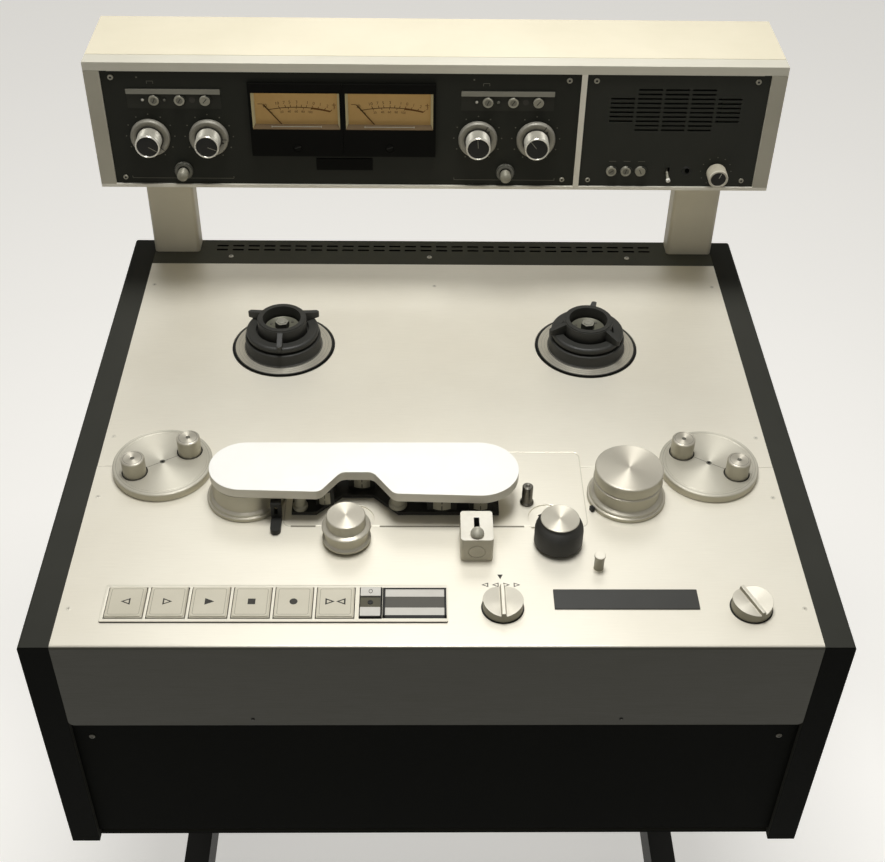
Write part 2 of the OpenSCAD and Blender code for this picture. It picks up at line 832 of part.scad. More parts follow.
// Turned post that guides the tape between two heads
module guide_post(x, y, d) {
  top = cover_under - 1;
  translate([x, y, base_t - eps]) rotate_extrude() polygon([
    [0, 0], [d / 2, 0], [d / 2, 3], [d / 2 - 1.5, 4], [d / 2 - 1.5, top - base_t - 4],
    [d / 2, top - base_t - 3], [d / 2, top - base_t], [0, top - base_t],
  ]);
}

module tape_heads() {
  base_front = idler_y - cover_left_r + base_inset + 2;
  base_back = idler_y + cover_left_r - base_inset - 4;
  mouth_left_x = notch_x - notch_mouth_w / 2;
  mouth_right_x = notch_x + notch_mouth_w / 2;
  bottom_left_x = notch_x - notch_w / 2;
  bottom_right_x = notch_x + notch_w / 2;
  color(black_plastic) on_deck(0, 0) {
    linear_extrude(base_t) polygon([
      [head_left + 6, base_front], [mouth_left_x - base_inset, base_front],
      [bottom_left_x, notch_y + base_inset],
      [bottom_right_x, notch_y + base_inset], [mouth_right_x + base_inset, base_front],
      [cover_right_x + cover_right_r / 2, base_front], [cover_right_x + cover_right_r / 2, base_back],
      [head_left + 6, base_back],
    ]);
    head_can(erase_x, erase_y, erase_w, erase_d);
    head_can(record_x, record_y, record_w, record_d);
    head_can(replay_x, replay_y, replay_w, replay_d);
    head_can(last_x, replay_y, last_w, replay_d);
    guide_post(post_1_x, post_1_y, post_1_d);
    guide_post(post_2_x, post_2_y, post_2_d);
  }
}

module side_panels() {
  edge = 2;
  color(charcoal) for (s = [-1, 1])
    translate([s * half_w, 0, case_bottom])
      rotate([90, 0, 0]) translate([0, 0, -body_d / 2]) linear_extrude(body_d) polygon([
        [0, 0], [s * side_t, 0], [s * side_t, side_h - edge], [s * (side_t - edge), side_h], [0, side_h],
      ]);
}

// Strip behind the deck with two rows of vent slots
module vent_strip() {
  row_y = deck_d + vent_d / 2 + 8;
  difference() {
    on_deck(-half_w, deck_d) translate([0, 0, -sheet_t]) cube([deck_w, vent_d, sheet_t]);
    for (i = [0 : vent_count - 1], r = [-1, 1])
      on_deck((i - (vent_count - 1) / 2) * vent_pitch, row_y + r * vent_row_pitch / 2)
        translate([0, 0, -2 * sheet_t]) rotate([0, 0, 90])
          capsule(vent_slot_w / 2, vent_slot_l - vent_slot_w, 3 * sheet_t);
  }
}

module front_cover() {
  lap = 15;
  on_deck(-half_w, front_recess) translate([0, 0, -side_h + front_lift])
    cube([deck_w, sheet_t, side_h - front_lift - apron_h + lap]);
}

// Sheet at the back with rows of louvres, a mains inlet and line sockets
module back_cover() {
  louvre_w = 90;
  inlet_w = 28;
  inlet_h = 21;
  inlet_l = 20;
  socket_d = 24;
  socket_pitch = 40;
  sockets = 4;
  low = case_bottom - deck_h;
  difference() {
    on_deck(-half_w, body_d - sheet_t) translate([0, 0, low]) cube([deck_w, sheet_t, side_h - sheet_t]);
    for (c = [-1, 0, 1], i = [0 : louvre_count - 1])
      on_deck(c * deck_w * 0.3, body_d - sheet_t - eps)
        translate([-louvre_w / 2, 0, low + side_h * 0.45 + i * louvre_pitch])
          cube([louvre_w, sheet_t + 2 * eps, louvre_h]);
    on_deck(-deck_w * 0.3, body_d - sheet_t - eps)
      translate([-inlet_w / 2, 0, low + side_h * 0.2]) cube([inlet_w, sheet_t + 2 * eps, inlet_h]);
    for (i = [0 : sockets - 1])
      on_deck(deck_w * 0.15 + i * socket_pitch, body_d + eps)
        translate([0, 0, low + side_h * 0.24]) rotate([90, 0, 0])
          cylinder(d = socket_d, h = sheet_t + 2 * eps);
  }
  on_deck(-deck_w * 0.3, body_d - sheet_t - inlet_l) translate([0, 0, low + side_h * 0.2])
    inlet_shell(inlet_w, inlet_h, inlet_l + sheet_t * 0.5);
  for (i = [0 : sockets - 1])
    on_deck(deck_w * 0.15 + i * socket_pitch, body_d - sheet_t * 0.5)
      translate([0, 0, low + side_h * 0.24]) rotate([90, 0, 0]) line_socket(socket_d);
}

// Recessed mains inlet with three blades
module inlet_shell(w, h, d) {
  wall = 2;
  difference() {
    translate([-w / 2, 0, 0]) cube([w, d, h]);
    translate([-w / 2 + wall, wall, wall]) cube([w - 2 * wall, d, h - 2 * wall]);
  }
  for (x = [-7, 0, 7])
    translate([x - 1, wall - eps, h / 2 - 2 + (x == 0 ? 2 : -1)]) cube([2, d * 0.6, 4]);
}

// Round line socket with three pins in its recess
module line_socket(d) {
  depth = 22;
  difference() {
    cylinder(d = d, h = depth);
    translate([0, 0, -eps]) cylinder(d = d - 4, h = depth - 4);
  }
  for (a = [90, 210, 330])
    rotate([0, 0, a]) translate([d * 0.2, 0, 6]) cylinder(d = 2.4, h = depth - 7);
}

module case_covers() {
  color(black_paint) {
    vent_strip();
    front_cover();
    back_cover();
    on_deck(-half_w, front_recess + sheet_t) translate([0, 0, -side_h])
      cube([deck_w, body_d - front_recess - 2 * sheet_t, sheet_t]);
  }
}

module chassis() {
  y0 = deck_t;
  y1 = body_d - sheet_t;
  wall_h = chassis_gap + eps;
  color(cast_grey) difference() {
    union() {
      on_deck(-half_w, y0) translate([0, 0, chassis_bottom]) cube([deck_w, y1 - y0, chassis_t]);
      for (s = [0, 1])
        on_deck(-half_w + s * (deck_w - chassis_rib), y0) translate([0, 0, chassis_top - eps])
          cube([chassis_rib, y1 - y0, wall_h]);
      for (y = [y0, seam_y - chassis_rib / 2, deck_d - chassis_rib / 2, y1 - chassis_rib])
        on_deck(-half_w, y) translate([0, 0, chassis_top - eps]) cube([deck_w, chassis_rib, wall_h]);
      for (b = bearings)
        on_deck(b[0], b[1]) rod(b[2] + 2 * boss_wall, chassis_bottom, b[3]);
    }
    for (b = bearings)
      on_deck(b[0], b[1]) rod(b[2] + 2 * run_clear, chassis_bottom - eps, 0);
  }
}

// Motor with a mounting flange, cooling ribs and a hole for its shaft
module motor(d, l, shaft_d) {
  ribs = 5;
  rib_pitch = l * 0.7 / ribs;
  rib_in = 3;
  difference() {
    union() {
      rod(d + 12, -6, 0);
      rod(d - 2 * rib_in, -l, -6 + eps);
      for (i = [0 : ribs - 1])
        rod(d, -l * 0.14 - i * rib_pitch - rib_pitch * 0.6, -l * 0.14 - i * rib_pitch);
      rod(d * 0.45, -l - 8, -l + eps);
    }
    rod(shaft_d + 2 * run_clear, -motor_shaft_l - 1, eps);
  }
}

module drive_motors() {
  color([0.55, 0.55, 0.56]) {
    for (s = [-1, 1])
      on_deck(s * reel_x, reel_y) translate([0, 0, chassis_bottom])
        motor(reel_motor_d, reel_motor_l, reel_shaft_d);
    on_deck(capstan_x, capstan_y) translate([0, 0, chassis_bottom])
      motor(capstan_motor_d, capstan_motor_l, capstan_shaft_d);
  }
}

// Levelling foot with a threaded stem
module foot() {
  stem_r = 8;
  pad_h = 8;
  rotate_extrude() polygon([
    [0, 0], [foot_d / 2 - 3, 0], [foot_d / 2, 3], [foot_d / 2, pad_h], [foot_d / 2 - stem_r, pad_h + 6],
    [stem_r, 2 * pad_h], [stem_r, foot_h + eps], [0, foot_h + eps],
  ]);
}

module stand_frame() {
  rail_x = half_w - rail_inset;
  rail_l = body_d - rail_front - rail_back;
  beam_front = 60;
  beam_l = body_d - beam_front - rail_back;
  cross_d = 30;
  foot_in = foot_d / 2 + 12;
  color(black_paint) {
    for (s = [-1, 1]) {
      translate([s * rail_x, front_y + rail_front + rail_l / 2, foot_h]) slab(rail_w, rail_l, rail_h, 4);
      translate([s * rail_x - rail_w / 2, front_y + upright_y, foot_h + rail_h - eps])
        cube([rail_w, upright_d, case_bottom - foot_h - rail_h - beam_h + 2 * eps]);
      translate([s * rail_x - rail_w / 2, front_y + beam_front, case_bottom - beam_h])
        cube([rail_w, beam_l, beam_h]);
      for (y = [foot_in, rail_l - foot_in])
        translate([s * rail_x, front_y + rail_front + y, 0]) foot();
    }
    translate([-rail_x, front_y + upright_y + upright_d / 2 - cross_d / 2, foot_h + rail_h + cross_lift])
      cube([2 * rail_x, cross_d, cross_h]);
  }
}

module bridge_posts() {
  color(beige_grey) for (s = [-1, 1])
    on_deck(s * post_span / 2, body_d - post_d / 2) slab(post_w, post_d, bridge_lift, 4);
}

module bridge_shell() {
  skin = 3;
  color(cream_paint) on_deck(0, 0) translate([0, 0, bridge_lift]) {
    difference() {
      translate([-bridge_w / 2, bridge_front, 0]) cube([bridge_w, bridge_d, bridge_h]);
      translate([-bridge_w / 2 + skin, bridge_front + bridge_frame_d, skin])
        cube([bridge_w - 2 * skin, bridge_d - bridge_frame_d - skin, bridge_h - 2 * skin]);
      translate([-bridge_w / 2 + bridge_side, bridge_front - eps, bridge_bottom])
        cube([bridge_w - 2 * bridge_side, bridge_frame_d + 2 * eps, panel_h]);
      bridge_seams();
    }
    translate([meter_panel_x + meter_panel_w / 2, bridge_front, bridge_bottom - eps])
      cube([divider_w, bridge_frame_d, panel_h + 2 * eps]);
  }
}

// Seams where the frame meets the cover, and where its top rail meets the end strips
module bridge_seams() {
  g = bridge_seam;
  translate([-bridge_w, bridge_front + bridge_frame_d, bridge_h - g]) cube([2 * bridge_w, g, 2 * g]);
  for (s = [-1, 1]) {
    translate([s * bridge_w / 2 - g, bridge_front + bridge_frame_d, -g]) cube([2 * g, g, bridge_h + 2 * g]);
    translate([s * (bridge_w - bridge_side) / 2 - bridge_side, bridge_front - g, bridge_h - bridge_top])
      cube([2 * bridge_side, 2 * g, g / 2]);
  }
}

// Blank panel, drawn in panel coordinates
module panel_blank(w) {
  translate([-w / 2, bridge_bottom, -panel_t]) cube([w, panel_h, panel_t]);
}

// Control body behind a panel, with a stepped hole for a sleeve and a shaft
module control_body(outer_d) {
  difference() {
    translate([0, 0, -panel_t - pot_l]) cylinder(d = pot_d, h = pot_l + eps);
    translate([0, 0, -panel_t - pot_l + 4]) cylinder(d = spindle_d + 2 * run_clear, h = pot_l);
    translate([0, 0, -panel_t - 5]) cylinder(d = outer_d, h = 6);
  }
}

// Preset control with a screwdriver slot
module preset() {
  difference() {
    rod(preset_d, -eps, preset_h);
    translate([-preset_d / 2, -0.6, preset_h - 1]) cube([preset_d, 1.2, 1 + eps]);
    difference() {
      rod(preset_d - 2, preset_h - 0.5, preset_h + eps);
      rod(preset_d - 5, preset_h - 0.6, preset_h + 2 * eps);
    }
  }
}

module meter_panel() {
  meter_case_w = meter_w - 6;
  meter_case_h = meter_h - 6;
  sleeve_hole = sleeve_d + 2 * run_clear;
  switch_l = 14;
  color(black_paint) {
    difference() {
      on_panel(meter_panel_x, 0) panel_blank(meter_panel_w);
      for (s = [-1, 1])
        on_panel(meter_panel_x + s * meter_w / 2, meter_z + meter_h / 2)
          translate([0, 0, -panel_t / 2])
            cube([meter_case_w, meter_case_h, panel_t + 2 * eps], center = true);
      for (c = channels) {
        for (d = [-1, 1])
          on_panel(meter_panel_x + c * channel_x + d * dial_pitch / 2, dial_z)
            rod(sleeve_hole, -panel_t - eps, eps);
        on_panel(meter_panel_x + c * channel_x, test_z) rod(spindle_d + 2 * run_clear, -panel_t - eps, eps);
      }
    }
    for (c = channels) {
      for (d = [-1, 1])
        on_panel(meter_panel_x + c * channel_x + d * dial_pitch / 2, dial_z) control_body(sleeve_hole);
      for (i = [-1, 0, 1])
        on_panel(meter_panel_x + c * channel_x + preset_shift + i * preset_pitch, preset_z) preset();
      on_panel(meter_panel_x + c * channel_x, strip_z) translate([0, 0, 0.6 - eps])
        cube([strip_w, strip_h, 1.2], center = true);
      on_panel(meter_panel_x + c * channel_x, test_z) difference() {
        union() {
          rod(collar_d, -eps, collar_h);
          rod(collar_d, -panel_t - switch_l, -panel_t + eps);
        }
        rod(test_d + 2 * move_clear, 1, collar_h + eps);
        rod(spindle_d + 2 * run_clear, -panel_t - switch_l - 1, 2);
      }
    }
  }
}

// Rows of slots over the speaker: three slots in the two top and two bottom rows, five between them
module grille() {
  rows = 10;
  for (r = [0 : rows - 1]) {
    half = (r < 2 || r > rows - 3) ? 1 : 2;
    for (i = [-half : half])
      on_panel(speaker_panel_x + i * grille_pitch_x, grille_z + r * grille_pitch_z)
        translate([-grille_slot_w / 2, -grille_slot_h / 2, -panel_t - eps])
          cube([grille_slot_w, grille_slot_h, panel_t + 2 * eps]);
  }
}

module speaker_panel() {
  preset_row = -40;
  preset_row_pitch = 14.6;
  toggle_hole_h = 16;
  toggle_hole_w = 7.5;
  color(black_paint) {
    difference() {
      on_panel(speaker_panel_x, 0) panel_blank(speaker_panel_w);
      grille();
      on_panel(speaker_panel_x + jack_x, monitor_z) rod(jack_d, -panel_t - eps, eps);
      on_panel(speaker_panel_x + volume_x, monitor_z) rod(spindle_d + 2 * run_clear, -panel_t - eps, eps);
      on_panel(speaker_panel_x, monitor_z)
        translate([-toggle_hole_w / 2, -toggle_hole_h / 2, -panel_t - eps])
          cube([toggle_hole_w, toggle_hole_h, panel_t + 2 * eps]);
    }
    on_panel(speaker_panel_x + volume_x, monitor_z) control_body(spindle_d + 2 * run_clear);
    for (i = [-1, 0, 1])
      on_panel(speaker_panel_x + preset_row + i * preset_row_pitch, monitor_z) preset();
    on_panel(speaker_panel_x + jack_x, monitor_z) difference() {
      rod(jack_d + 6, -jack_l, -panel_t + eps);
      rod(jack_d, -jack_l - eps, eps);
    }
    on_panel(speaker_panel_x, monitor_z) toggle_body(toggle_hole_w, toggle_hole_h);
  }
}

// Bearings behind the panel for the toggle's trunnions
toggle_pivot = 8;
toggle_pin_d = 3;
module toggle_body(hole_w, hole_h) {
  cheek = 4;
  depth = 16;
  difference() {
    translate([-hole_w / 2 - cheek, -hole_h / 2 - 2, -panel_t - depth])
      cube([hole_w + 2 * cheek, hole_h + 4, depth + eps]);
    translate([-hole_w / 2, -hole_h / 2, -panel_t - depth + 2]) cube([hole_w, hole_h, depth]);
    translate([-hole_w / 2 - cheek - eps, 0, -toggle_pivot]) rotate([0, 90, 0])
      cylinder(d = toggle_pin_d + 2 * run_clear, h = hole_w + 2 * cheek + 2 * eps);
  }
}

module monitor_switch() {
  hole_w = 7.5;
  color(turned_aluminium) on_panel(speaker_panel_x, monitor_z) translate([0, 0, -toggle_pivot])
    rotate([toggle_rest, 0, 0]) {
      translate([-hole_w / 2 - 4, 0, 0]) rotate([0, 90, 0]) cylinder(d = toggle_pin_d, h = hole_w + 8);
      rotate_extrude() polygon([
        [0, -3], [2.6, -3], [2.6, 3], [1.5, 5], [2.1, toggle_pivot + toggle_l - 3],
        [toggle_ball_d / 2, toggle_pivot + toggle_l - 1.5],
        [toggle_ball_d / 2 - 0.6, toggle_pivot + toggle_l],
        [0, toggle_pivot + toggle_l + 0.4],
      ]);
    }
}

// Loudspeaker: basket, cone and magnet as one turned piece
module monitor_speaker() {
  rows = 10;
  middle = grille_z + (rows - 1) * grille_pitch_z / 2;
  r = speaker_d / 2;
  magnet_h = 16;
  half_h = bridge_h - bridge_top - middle - move_clear;
  color(black_plastic) on_panel(speaker_panel_x, middle) intersection() {
    rotate_extrude() polygon([
      [0, -panel_t - 14], [7, -panel_t - 12], [r - 9, -panel_t - 3], [r - 6, -panel_t], [r, -panel_t],
      [r, -panel_t - 3], [r * 0.5, -panel_t - speaker_depth + magnet_h], [r * 0.5, -panel_t - speaker_depth],
      [0, -panel_t - speaker_depth],
    ]);
    cube([2 * r, 2 * half_h, 4 * speaker_depth], center = true);
  }
}

// Level dial: an outer marker ring on a sleeve, and a knob on a shaft through it
module level_ring(c, d) {
  r = ring_d / 2;
  bore = spindle_d / 2 + run_clear;
  face = level_knob_d / 2 + 0.6;
  color(turned_aluminium) on_panel(meter_panel_x + c * channel_x + d * dial_pitch / 2, dial_z)
    rotate_extrude() polygon([
      [bore, -panel_t - 4], [sleeve_d / 2, -panel_t - 4], [sleeve_d / 2, move_clear], [r - 0.6, move_clear],
      [r, move_clear + 0.6], [r, ring_t - 1.6], [r - 1.2, ring_t], [face, ring_t - 1], [face, ring_t - 2],
      [bore, ring_t - 2],
    ]);
}

// Knob with a fine grip, a sunk face and its shaft
module panel_knob(d, l, base, shaft_end) {
  r = d / 2;
  rotate_extrude() polygon([
    [0, shaft_end], [spindle_d / 2, shaft_end], [spindle_d / 2, base], [r - 0.8, base], [r, base + 0.8],
    [r, base + l - 0.8], [r - 0.8, base + l], [r - 2, base + l], [r - 2.2, base + l - 0.6],
    [0, base + l - 0.6],
  ]);
}

module level_knob(c, d) {
  color(turned_aluminium) on_panel(meter_panel_x + c * channel_x + d * dial_pitch / 2, dial_z)
    panel_knob(level_knob_d, level_knob_l, ring_t - 2 + move_clear, -panel_t - pot_l + 5);
}

module volume_knob() {
  color(turned_aluminium) on_panel(speaker_panel_x + volume_x, monitor_z)
    panel_knob(volume_d, volume_l, move_clear + 0.4, -panel_t - pot_l + 5);
}

module test_button(c) {
  r = test_d / 2;
  base = 3 + move_clear + 2;
  tip = collar_h + test_l;
  color(turned_aluminium) on_panel(meter_panel_x + c * channel_x, test_z) rotate_extrude() polygon([
    [0, -panel_t - 10], [spindle_d / 2, -panel_t - 10], [spindle_d / 2, base], [r, base],
    [r, tip - 1], [r - 1, tip], [0, tip + 0.5],
  ]);
}

// One meter: a case with a window over the space that its needle moves in
module vu_meter(s) {
  window_z = meter_h - window_top - window_h;
  case_w = meter_w - 6;
  case_h = meter_h - 6;
  gap = 0.15;
  on_panel(meter_panel_x + s * meter_w / 2, meter_z) difference() {
    union() {
      translate([-meter_w / 2 + gap, 0, 0]) cube([meter_w - 2 * gap, meter_h, meter_front]);
      translate([-case_w / 2, (meter_h - case_h) / 2, -meter_depth])
        cube([case_w, case_h, meter_depth + eps]);
    }
    translate([-window_w / 2, window_z, -eps]) cube([window_w, window_h, meter_front + 1]);
    translate([-case_w / 2 + 2, 5, 1.5 - needle_space])
      cube([case_w - 4, meter_h - 10, needle_space]);
    translate([0, needle_pivot_z, -needle_space - 8]) cylinder(d = 3 + 2 * run_clear, h = 12);
    translate([0, window_z - adjuster_drop, meter_front - 1.4]) cylinder(d = 9, h = 2);
  }
}

module vu_meters() {
  color(black_plastic) for (s = [-1, 1]) vu_meter(s);
}

module vu_needle(s) {
  plane = 1.5 - needle_space / 2;
  color([0.75, 0.2, 0.1]) on_panel(meter_panel_x + s * meter_w / 2, meter_z + needle_pivot_z)
    rotate([0, 0, needle_rest]) {
      rod(3, plane - needle_space / 2 - 7, plane + 1.2);
      rod(7, plane - 1, plane + 1);
      translate([-needle_t / 2, -needle_tail, plane - needle_t / 2])
        cube([needle_t, needle_l + needle_tail, needle_t]);
    }
}

// Block on the deck that cuts the tape: a slot in its top guides the knob
module tape_cutter() {
  slot_l = cutter_travel + cutter_slot_w + 2 * move_clear;
  slot_depth = 14;
  mark_d = 15;
  color([0.88, 0.87, 0.82]) on_deck(cutter_x, cutter_y) difference() {
    translate([0, cutter_d / 2, 0]) slab(cutter_w, cutter_d, cutter_h, 3);
    translate([0, cutter_slot_front + slot_l / 2, cutter_h - slot_depth])
      capsule(cutter_slot_w / 2, slot_l - cutter_slot_w, 2 * slot_depth);
    translate([0, -eps, cutter_h * 0.45]) rotate([-90, 0, 0]) difference() {
      cylinder(d = mark_d, h = 0.6);
      translate([0, 0, -eps]) cylinder(d = mark_d - 2.4, h = 1);
    }
  }
}

module cutter_knob() {
  pin = cutter_slot_w - 2 * move_clear;
  r = cutter_knob_d / 2;
  low = cutter_h + move_clear;
  brim = 1.2;
  color(turned_aluminium) on_deck(cutter_x, cutter_y + cutter_slot_front + move_clear + cutter_slot_w / 2)
    rotate_extrude() polygon(concat(
      [[0, cutter_h - 12], [pin / 2, cutter_h - 12], [pin / 2, low], [r - 0.8, low], [r, low + 0.8]],
      [for (a = [0 : 15 : 75]) [r * cos(a), low + brim + (cutter_knob_h - brim) * sin(a)]],
      [[0, low + cutter_knob_h]]
    ));
}

// Black lever in front of the heads: a foot on the deck and a forked post
module lifter_lever() {
  toe_h = 5;
  post_l = 7;
  color(black_plastic) on_deck(lifter_x, lifter_y) {
    rod(lifter_shaft_d, chassis_bottom + 2, move_clear + eps);
    translate([0, 0, move_clear]) difference() {
      union() {
        translate([-lifter_w / 2, -lifter_l + lifter_w / 2, 0])
          cube([lifter_w, lifter_l - lifter_w / 2 + post_l / 2, toe_h]);
        translate([0, -lifter_l + lifter_w / 2, 0]) cylinder(d = lifter_w, h = toe_h);
        translate([-lifter_w / 2, -post_l / 2, 0]) cube([lifter_w, post_l, lifter_h]);
      }
      translate([-lifter_w / 6, -post_l / 2 - eps, toe_h + 4])
        cube([lifter_w / 3, post_l + 2 * eps, lifter_h - toe_h - 8]);
    }
  }
}

// Tray in the deck that guides the keys, the rocker and the counter
module key_frame() {
  skirt_w = keys_w - 6;
  skirt_d = keys_d - 4;
  well = key_gap;
  color(satin_aluminium) on_deck(keys_left, keys_front) difference() {
    union() {
      translate([keys_w / 2, keys_d / 2, 0]) slab(keys_w, keys_d, keys_rim, 1.5);
      translate([keys_w / 2, keys_d / 2, -keys_tray]) slab(skirt_w, skirt_d, keys_tray + eps, 1);
    }
    for (i = [0 : 5]) translate([key_first + i * key_pitch, keys_d / 2, 0]) {
      translate([-key_w / 2 - well, -key_d / 2 - well, -keys_tray + keys_floor])
        cube([key_w + 2 * well, key_d + 2 * well, keys_tray + keys_rim]);
      rod(key_stem_d + 2 * run_clear, -keys_tray - eps, 0);
    }
    translate([rocker_x - keys_left, keys_d / 2, 0]) {
      translate([-rocker_w / 2 - well, -rocker_d / 2 - well, -keys_tray + keys_floor])
        cube([rocker_w + 2 * well, rocker_d + 2 * well, keys_tray + keys_rim]);
      translate([-rocker_w / 2 - 1.2, 0, -2]) rotate([0, 90, 0])
        cylinder(d = rocker_pin_d + 2 * run_clear, h = rocker_w + 2.4);
    }
    translate([counter_x - keys_left, keys_d / 2, 0])
      translate([-counter_w / 2 + 1, -rocker_d / 2, -3]) cube([counter_w - 2, rocker_d, 3 + keys_rim + eps]);
  }
}

// Transport key: a cap with eased edges on a stem
module key(i) {
  color(key_plastic) on_deck(keys_left + key_first + i * key_pitch, key_y) {
    translate([0, 0, -key_skirt]) slab(key_w, key_d, key_skirt + key_h - 1, 1.2);
    translate([0, 0, key_h - 1 - eps]) slab(key_w - 1.6, key_d - 1.6, 1 + eps, 1);
    rod(key_stem_d, -keys_tray + 0.5, -key_skirt + eps);
  }
}

module counter_rocker() {
  color(black_plastic) on_deck(rocker_x, key_y) {
    translate([0, 0, -2]) rotate([0, 90, 0]) translate([0, 0, -rocker_w / 2 - 1])
      cylinder(d = rocker_pin_d, h = rocker_w + 2);
    rotate([90, 0, 90]) translate([0, 0, -rocker_w / 2]) linear_extrude(rocker_w) polygon([
      [-rocker_d / 2, -2], [-rocker_d / 6, -6], [rocker_d / 6, -6], [rocker_d / 2, -2],
      [rocker_d / 2 - 0.5, key_h], [rocker_d / 6, key_h - 1.2], [-rocker_d / 6, key_h - 1.2],
      [-rocker_d / 2 + 0.5, key_h],
    ]);
  }
}

// Round knob with two finger scoops beside a grip bar
module deck_knob(angle) {
  r = deck_knob_d / 2;
  rod(knob_shaft_d, chassis_bottom + 2, move_clear + eps);
  rotate([0, 0, angle]) difference() {
    rod(deck_knob_d, move_clear, deck_knob_h);
    for (s = [-1, 1])
      translate([s * grip_w / 2, 0, deck_knob_h - scoop]) rotate([0, -s * atan(scoop / r), 0])
        translate([s > 0 ? 0 : -2 * r, -2 * r, 0]) cube([2 * r, 4 * r, deck_knob_h]);
  }
}

module shuttle_knob() {
  color(turned_aluminium) on_deck(shuttle_x, deck_knob_y) deck_knob(0);
}

module selector_knob() {
  color(turned_aluminium) on_deck(selector_x, deck_knob_y) deck_knob(selector_a);
}

// Turntable: a flange in the deck, a grooved hub with a round rim, the lock's boss and its shaft
module reel_turntable(s) {
  flange_top = 1;
  lip_w = 0.6;
  lip_h = 1.5;
  stub_h = 0.8;
  r = hub_d / 2;
  rim = hub_rim_d / 2;
  groove_top = hub_band_h + hub_groove_w;
  seat = lock_d / 2 + lock_gap;
  plate = lock_h - lock_sink;
  color(black_plastic) on_deck(s * reel_x, reel_y) {
    rotate_extrude() polygon(concat(
      [
        [0, chassis_bottom - motor_shaft_l], [reel_shaft_d / 2, chassis_bottom - motor_shaft_l],
        [reel_shaft_d / 2, flange_top - flange_t], [flange_d / 2, flange_top - flange_t],
        [flange_d / 2, flange_top], [r + lip_w, flange_top], [r + lip_w, flange_top + lip_h],
        [r, flange_top + lip_h], [r, hub_band_h - 1], [r - 1, hub_band_h], [rim - hub_groove_t, hub_band_h],
        [rim - hub_groove_t, groove_top], [rim - 0.8, groove_top],
      ],
      [for (a = [0 : 15 : 90])
        [rim - hub_rim_r * (1 - cos(a)), hub_h - hub_rim_r * (1 - sin(a))]],
      [
        [seat + 0.5, hub_h], [seat, hub_h - 0.5], [seat, hub_base_h], [lock_boss_d / 2, hub_base_h],
        [lock_boss_d / 2, plate - 0.8], [lock_boss_d / 2 - 0.8, plate], [0, plate],
      ]
    ));
    translate([0, 0, plate - eps]) linear_extrude(hub_nut_h)
      polygon([for (a = [10 : 60 : 310]) hub_nut_d / 2 * [cos(a), sin(a)]]);
    rod(hub_nut_d * 0.6, plate, plate + hub_nut_h + stub_h);
  }
}

// Lock on a hub: a ring with three wings that slope down over the hub's rim
module hub_lock(s, angle) {
  low = hub_h + move_clear;
  top = lock_h - 1;
  ring_in = lock_boss_d / 2 + 2;
  end_x = wing_r - wing_w / 2;
  color(black_plastic) on_deck(s * reel_x, reel_y) difference() {
    union() {
      rod(lock_d, hub_base_h + move_clear, top);
      rod(lock_d - 2, top - eps, lock_h);
      for (i = [0 : 2]) rotate([0, 0, angle + i * 120]) intersection() {
        union() {
          translate([ring_in, -wing_w / 2, low]) cube([end_x - ring_in, wing_w, top - low]);
          translate([end_x, 0, low]) cylinder(d = wing_w, h = top - low);
        }
        rotate([90, 0, 0]) linear_extrude(2 * wing_w, center = true) polygon([
          [0, low - 1], [wing_r + 1, low - 1], [wing_r + 1, low + wing_tip],
          [lock_d / 2, top - 0.5], [0, top - 0.5],
        ]);
      }
    }
    rod(lock_boss_d + 2 * run_clear, hub_base_h, lock_h + eps);
  }
}

// Tension disc with a well and a pin for each roller, and its shaft
module tension_disc(s) {
  r = tension_d / 2;
  floor_z = tension_t - roller_well_t;
  color(turned_aluminium) on_deck(s * tension_x, tension_y) {
    difference() {
      tension_plate(r);
      for (e = [0, 180])
        rotate([0, 0, -s * tension_a + e]) translate([roller_orbit, 0, 0])
          rod(roller_d + 2 * roller_gap, floor_z, tension_t + 1);
    }
    for (e = [0, 180])
      rotate([0, 0, -s * tension_a + e]) translate([roller_orbit, 0, 0])
        rod(roller_pin_d, floor_z - eps, tension_t + roller_h - 4);
  }
}

// The disc with a line turned round its rim and a dimple in its middle
module tension_plate(r) {
  rotate_extrude() polygon([
    [0, chassis_bottom + 2], [tension_shaft_d / 2, chassis_bottom + 2], [tension_shaft_d / 2, move_clear],
    [r, move_clear], [r, tension_t - 0.8], [r - 0.8, tension_t], [r - 5, tension_t],
    [r - 5.3, tension_t - 0.3],
    [r - 5.6, tension_t], [2.5, tension_t], [1.5, tension_t - 1.5], [0, tension_t - 1.5],
  ]);
}

// Tension roller: e is 0 for the end towards +X and 180 for the other
module tension_roller(s, e) {
  r = roller_d / 2;
  bore = roller_pin_d / 2 + run_clear;
  foot_z = move_clear - roller_well_t;
  color(turned_aluminium) on_deck(s * tension_x, tension_y)
    rotate([0, 0, -s * tension_a + e]) translate([roller_orbit, 0, tension_t]) rotate_extrude() polygon([
      [bore, foot_z], [r - 0.5, foot_z], [r, foot_z + 0.5], [r, roller_h - 1], [r - 1, roller_h],
      [2, roller_h], [1.4, roller_h - 1], [0, roller_h - 1], [0, roller_h - 3], [bore, roller_h - 3],
    ]);
}

// Idler under the left end of the head cover
module idler_roller() {
  r = idler_flange_d / 2;
  top = cover_under - move_clear;
  color(turned_aluminium) on_deck(-idler_x, idler_y) rotate_extrude() polygon([
    [0, chassis_bottom + 2], [idler_shaft_d / 2, chassis_bottom + 2], [idler_shaft_d / 2, move_clear],
    [r, move_clear], [r, idler_flange_t - 1.6], [r - 0.6, idler_flange_t - 1], [r - 2, idler_flange_t - 1],
    [r - 2, idler_flange_t], [r - 3, idler_flange_t + 1.5], [drum_d / 2, idler_flange_t + 2.5],
    [drum_d / 2, top], [0, top],
  ]);
}

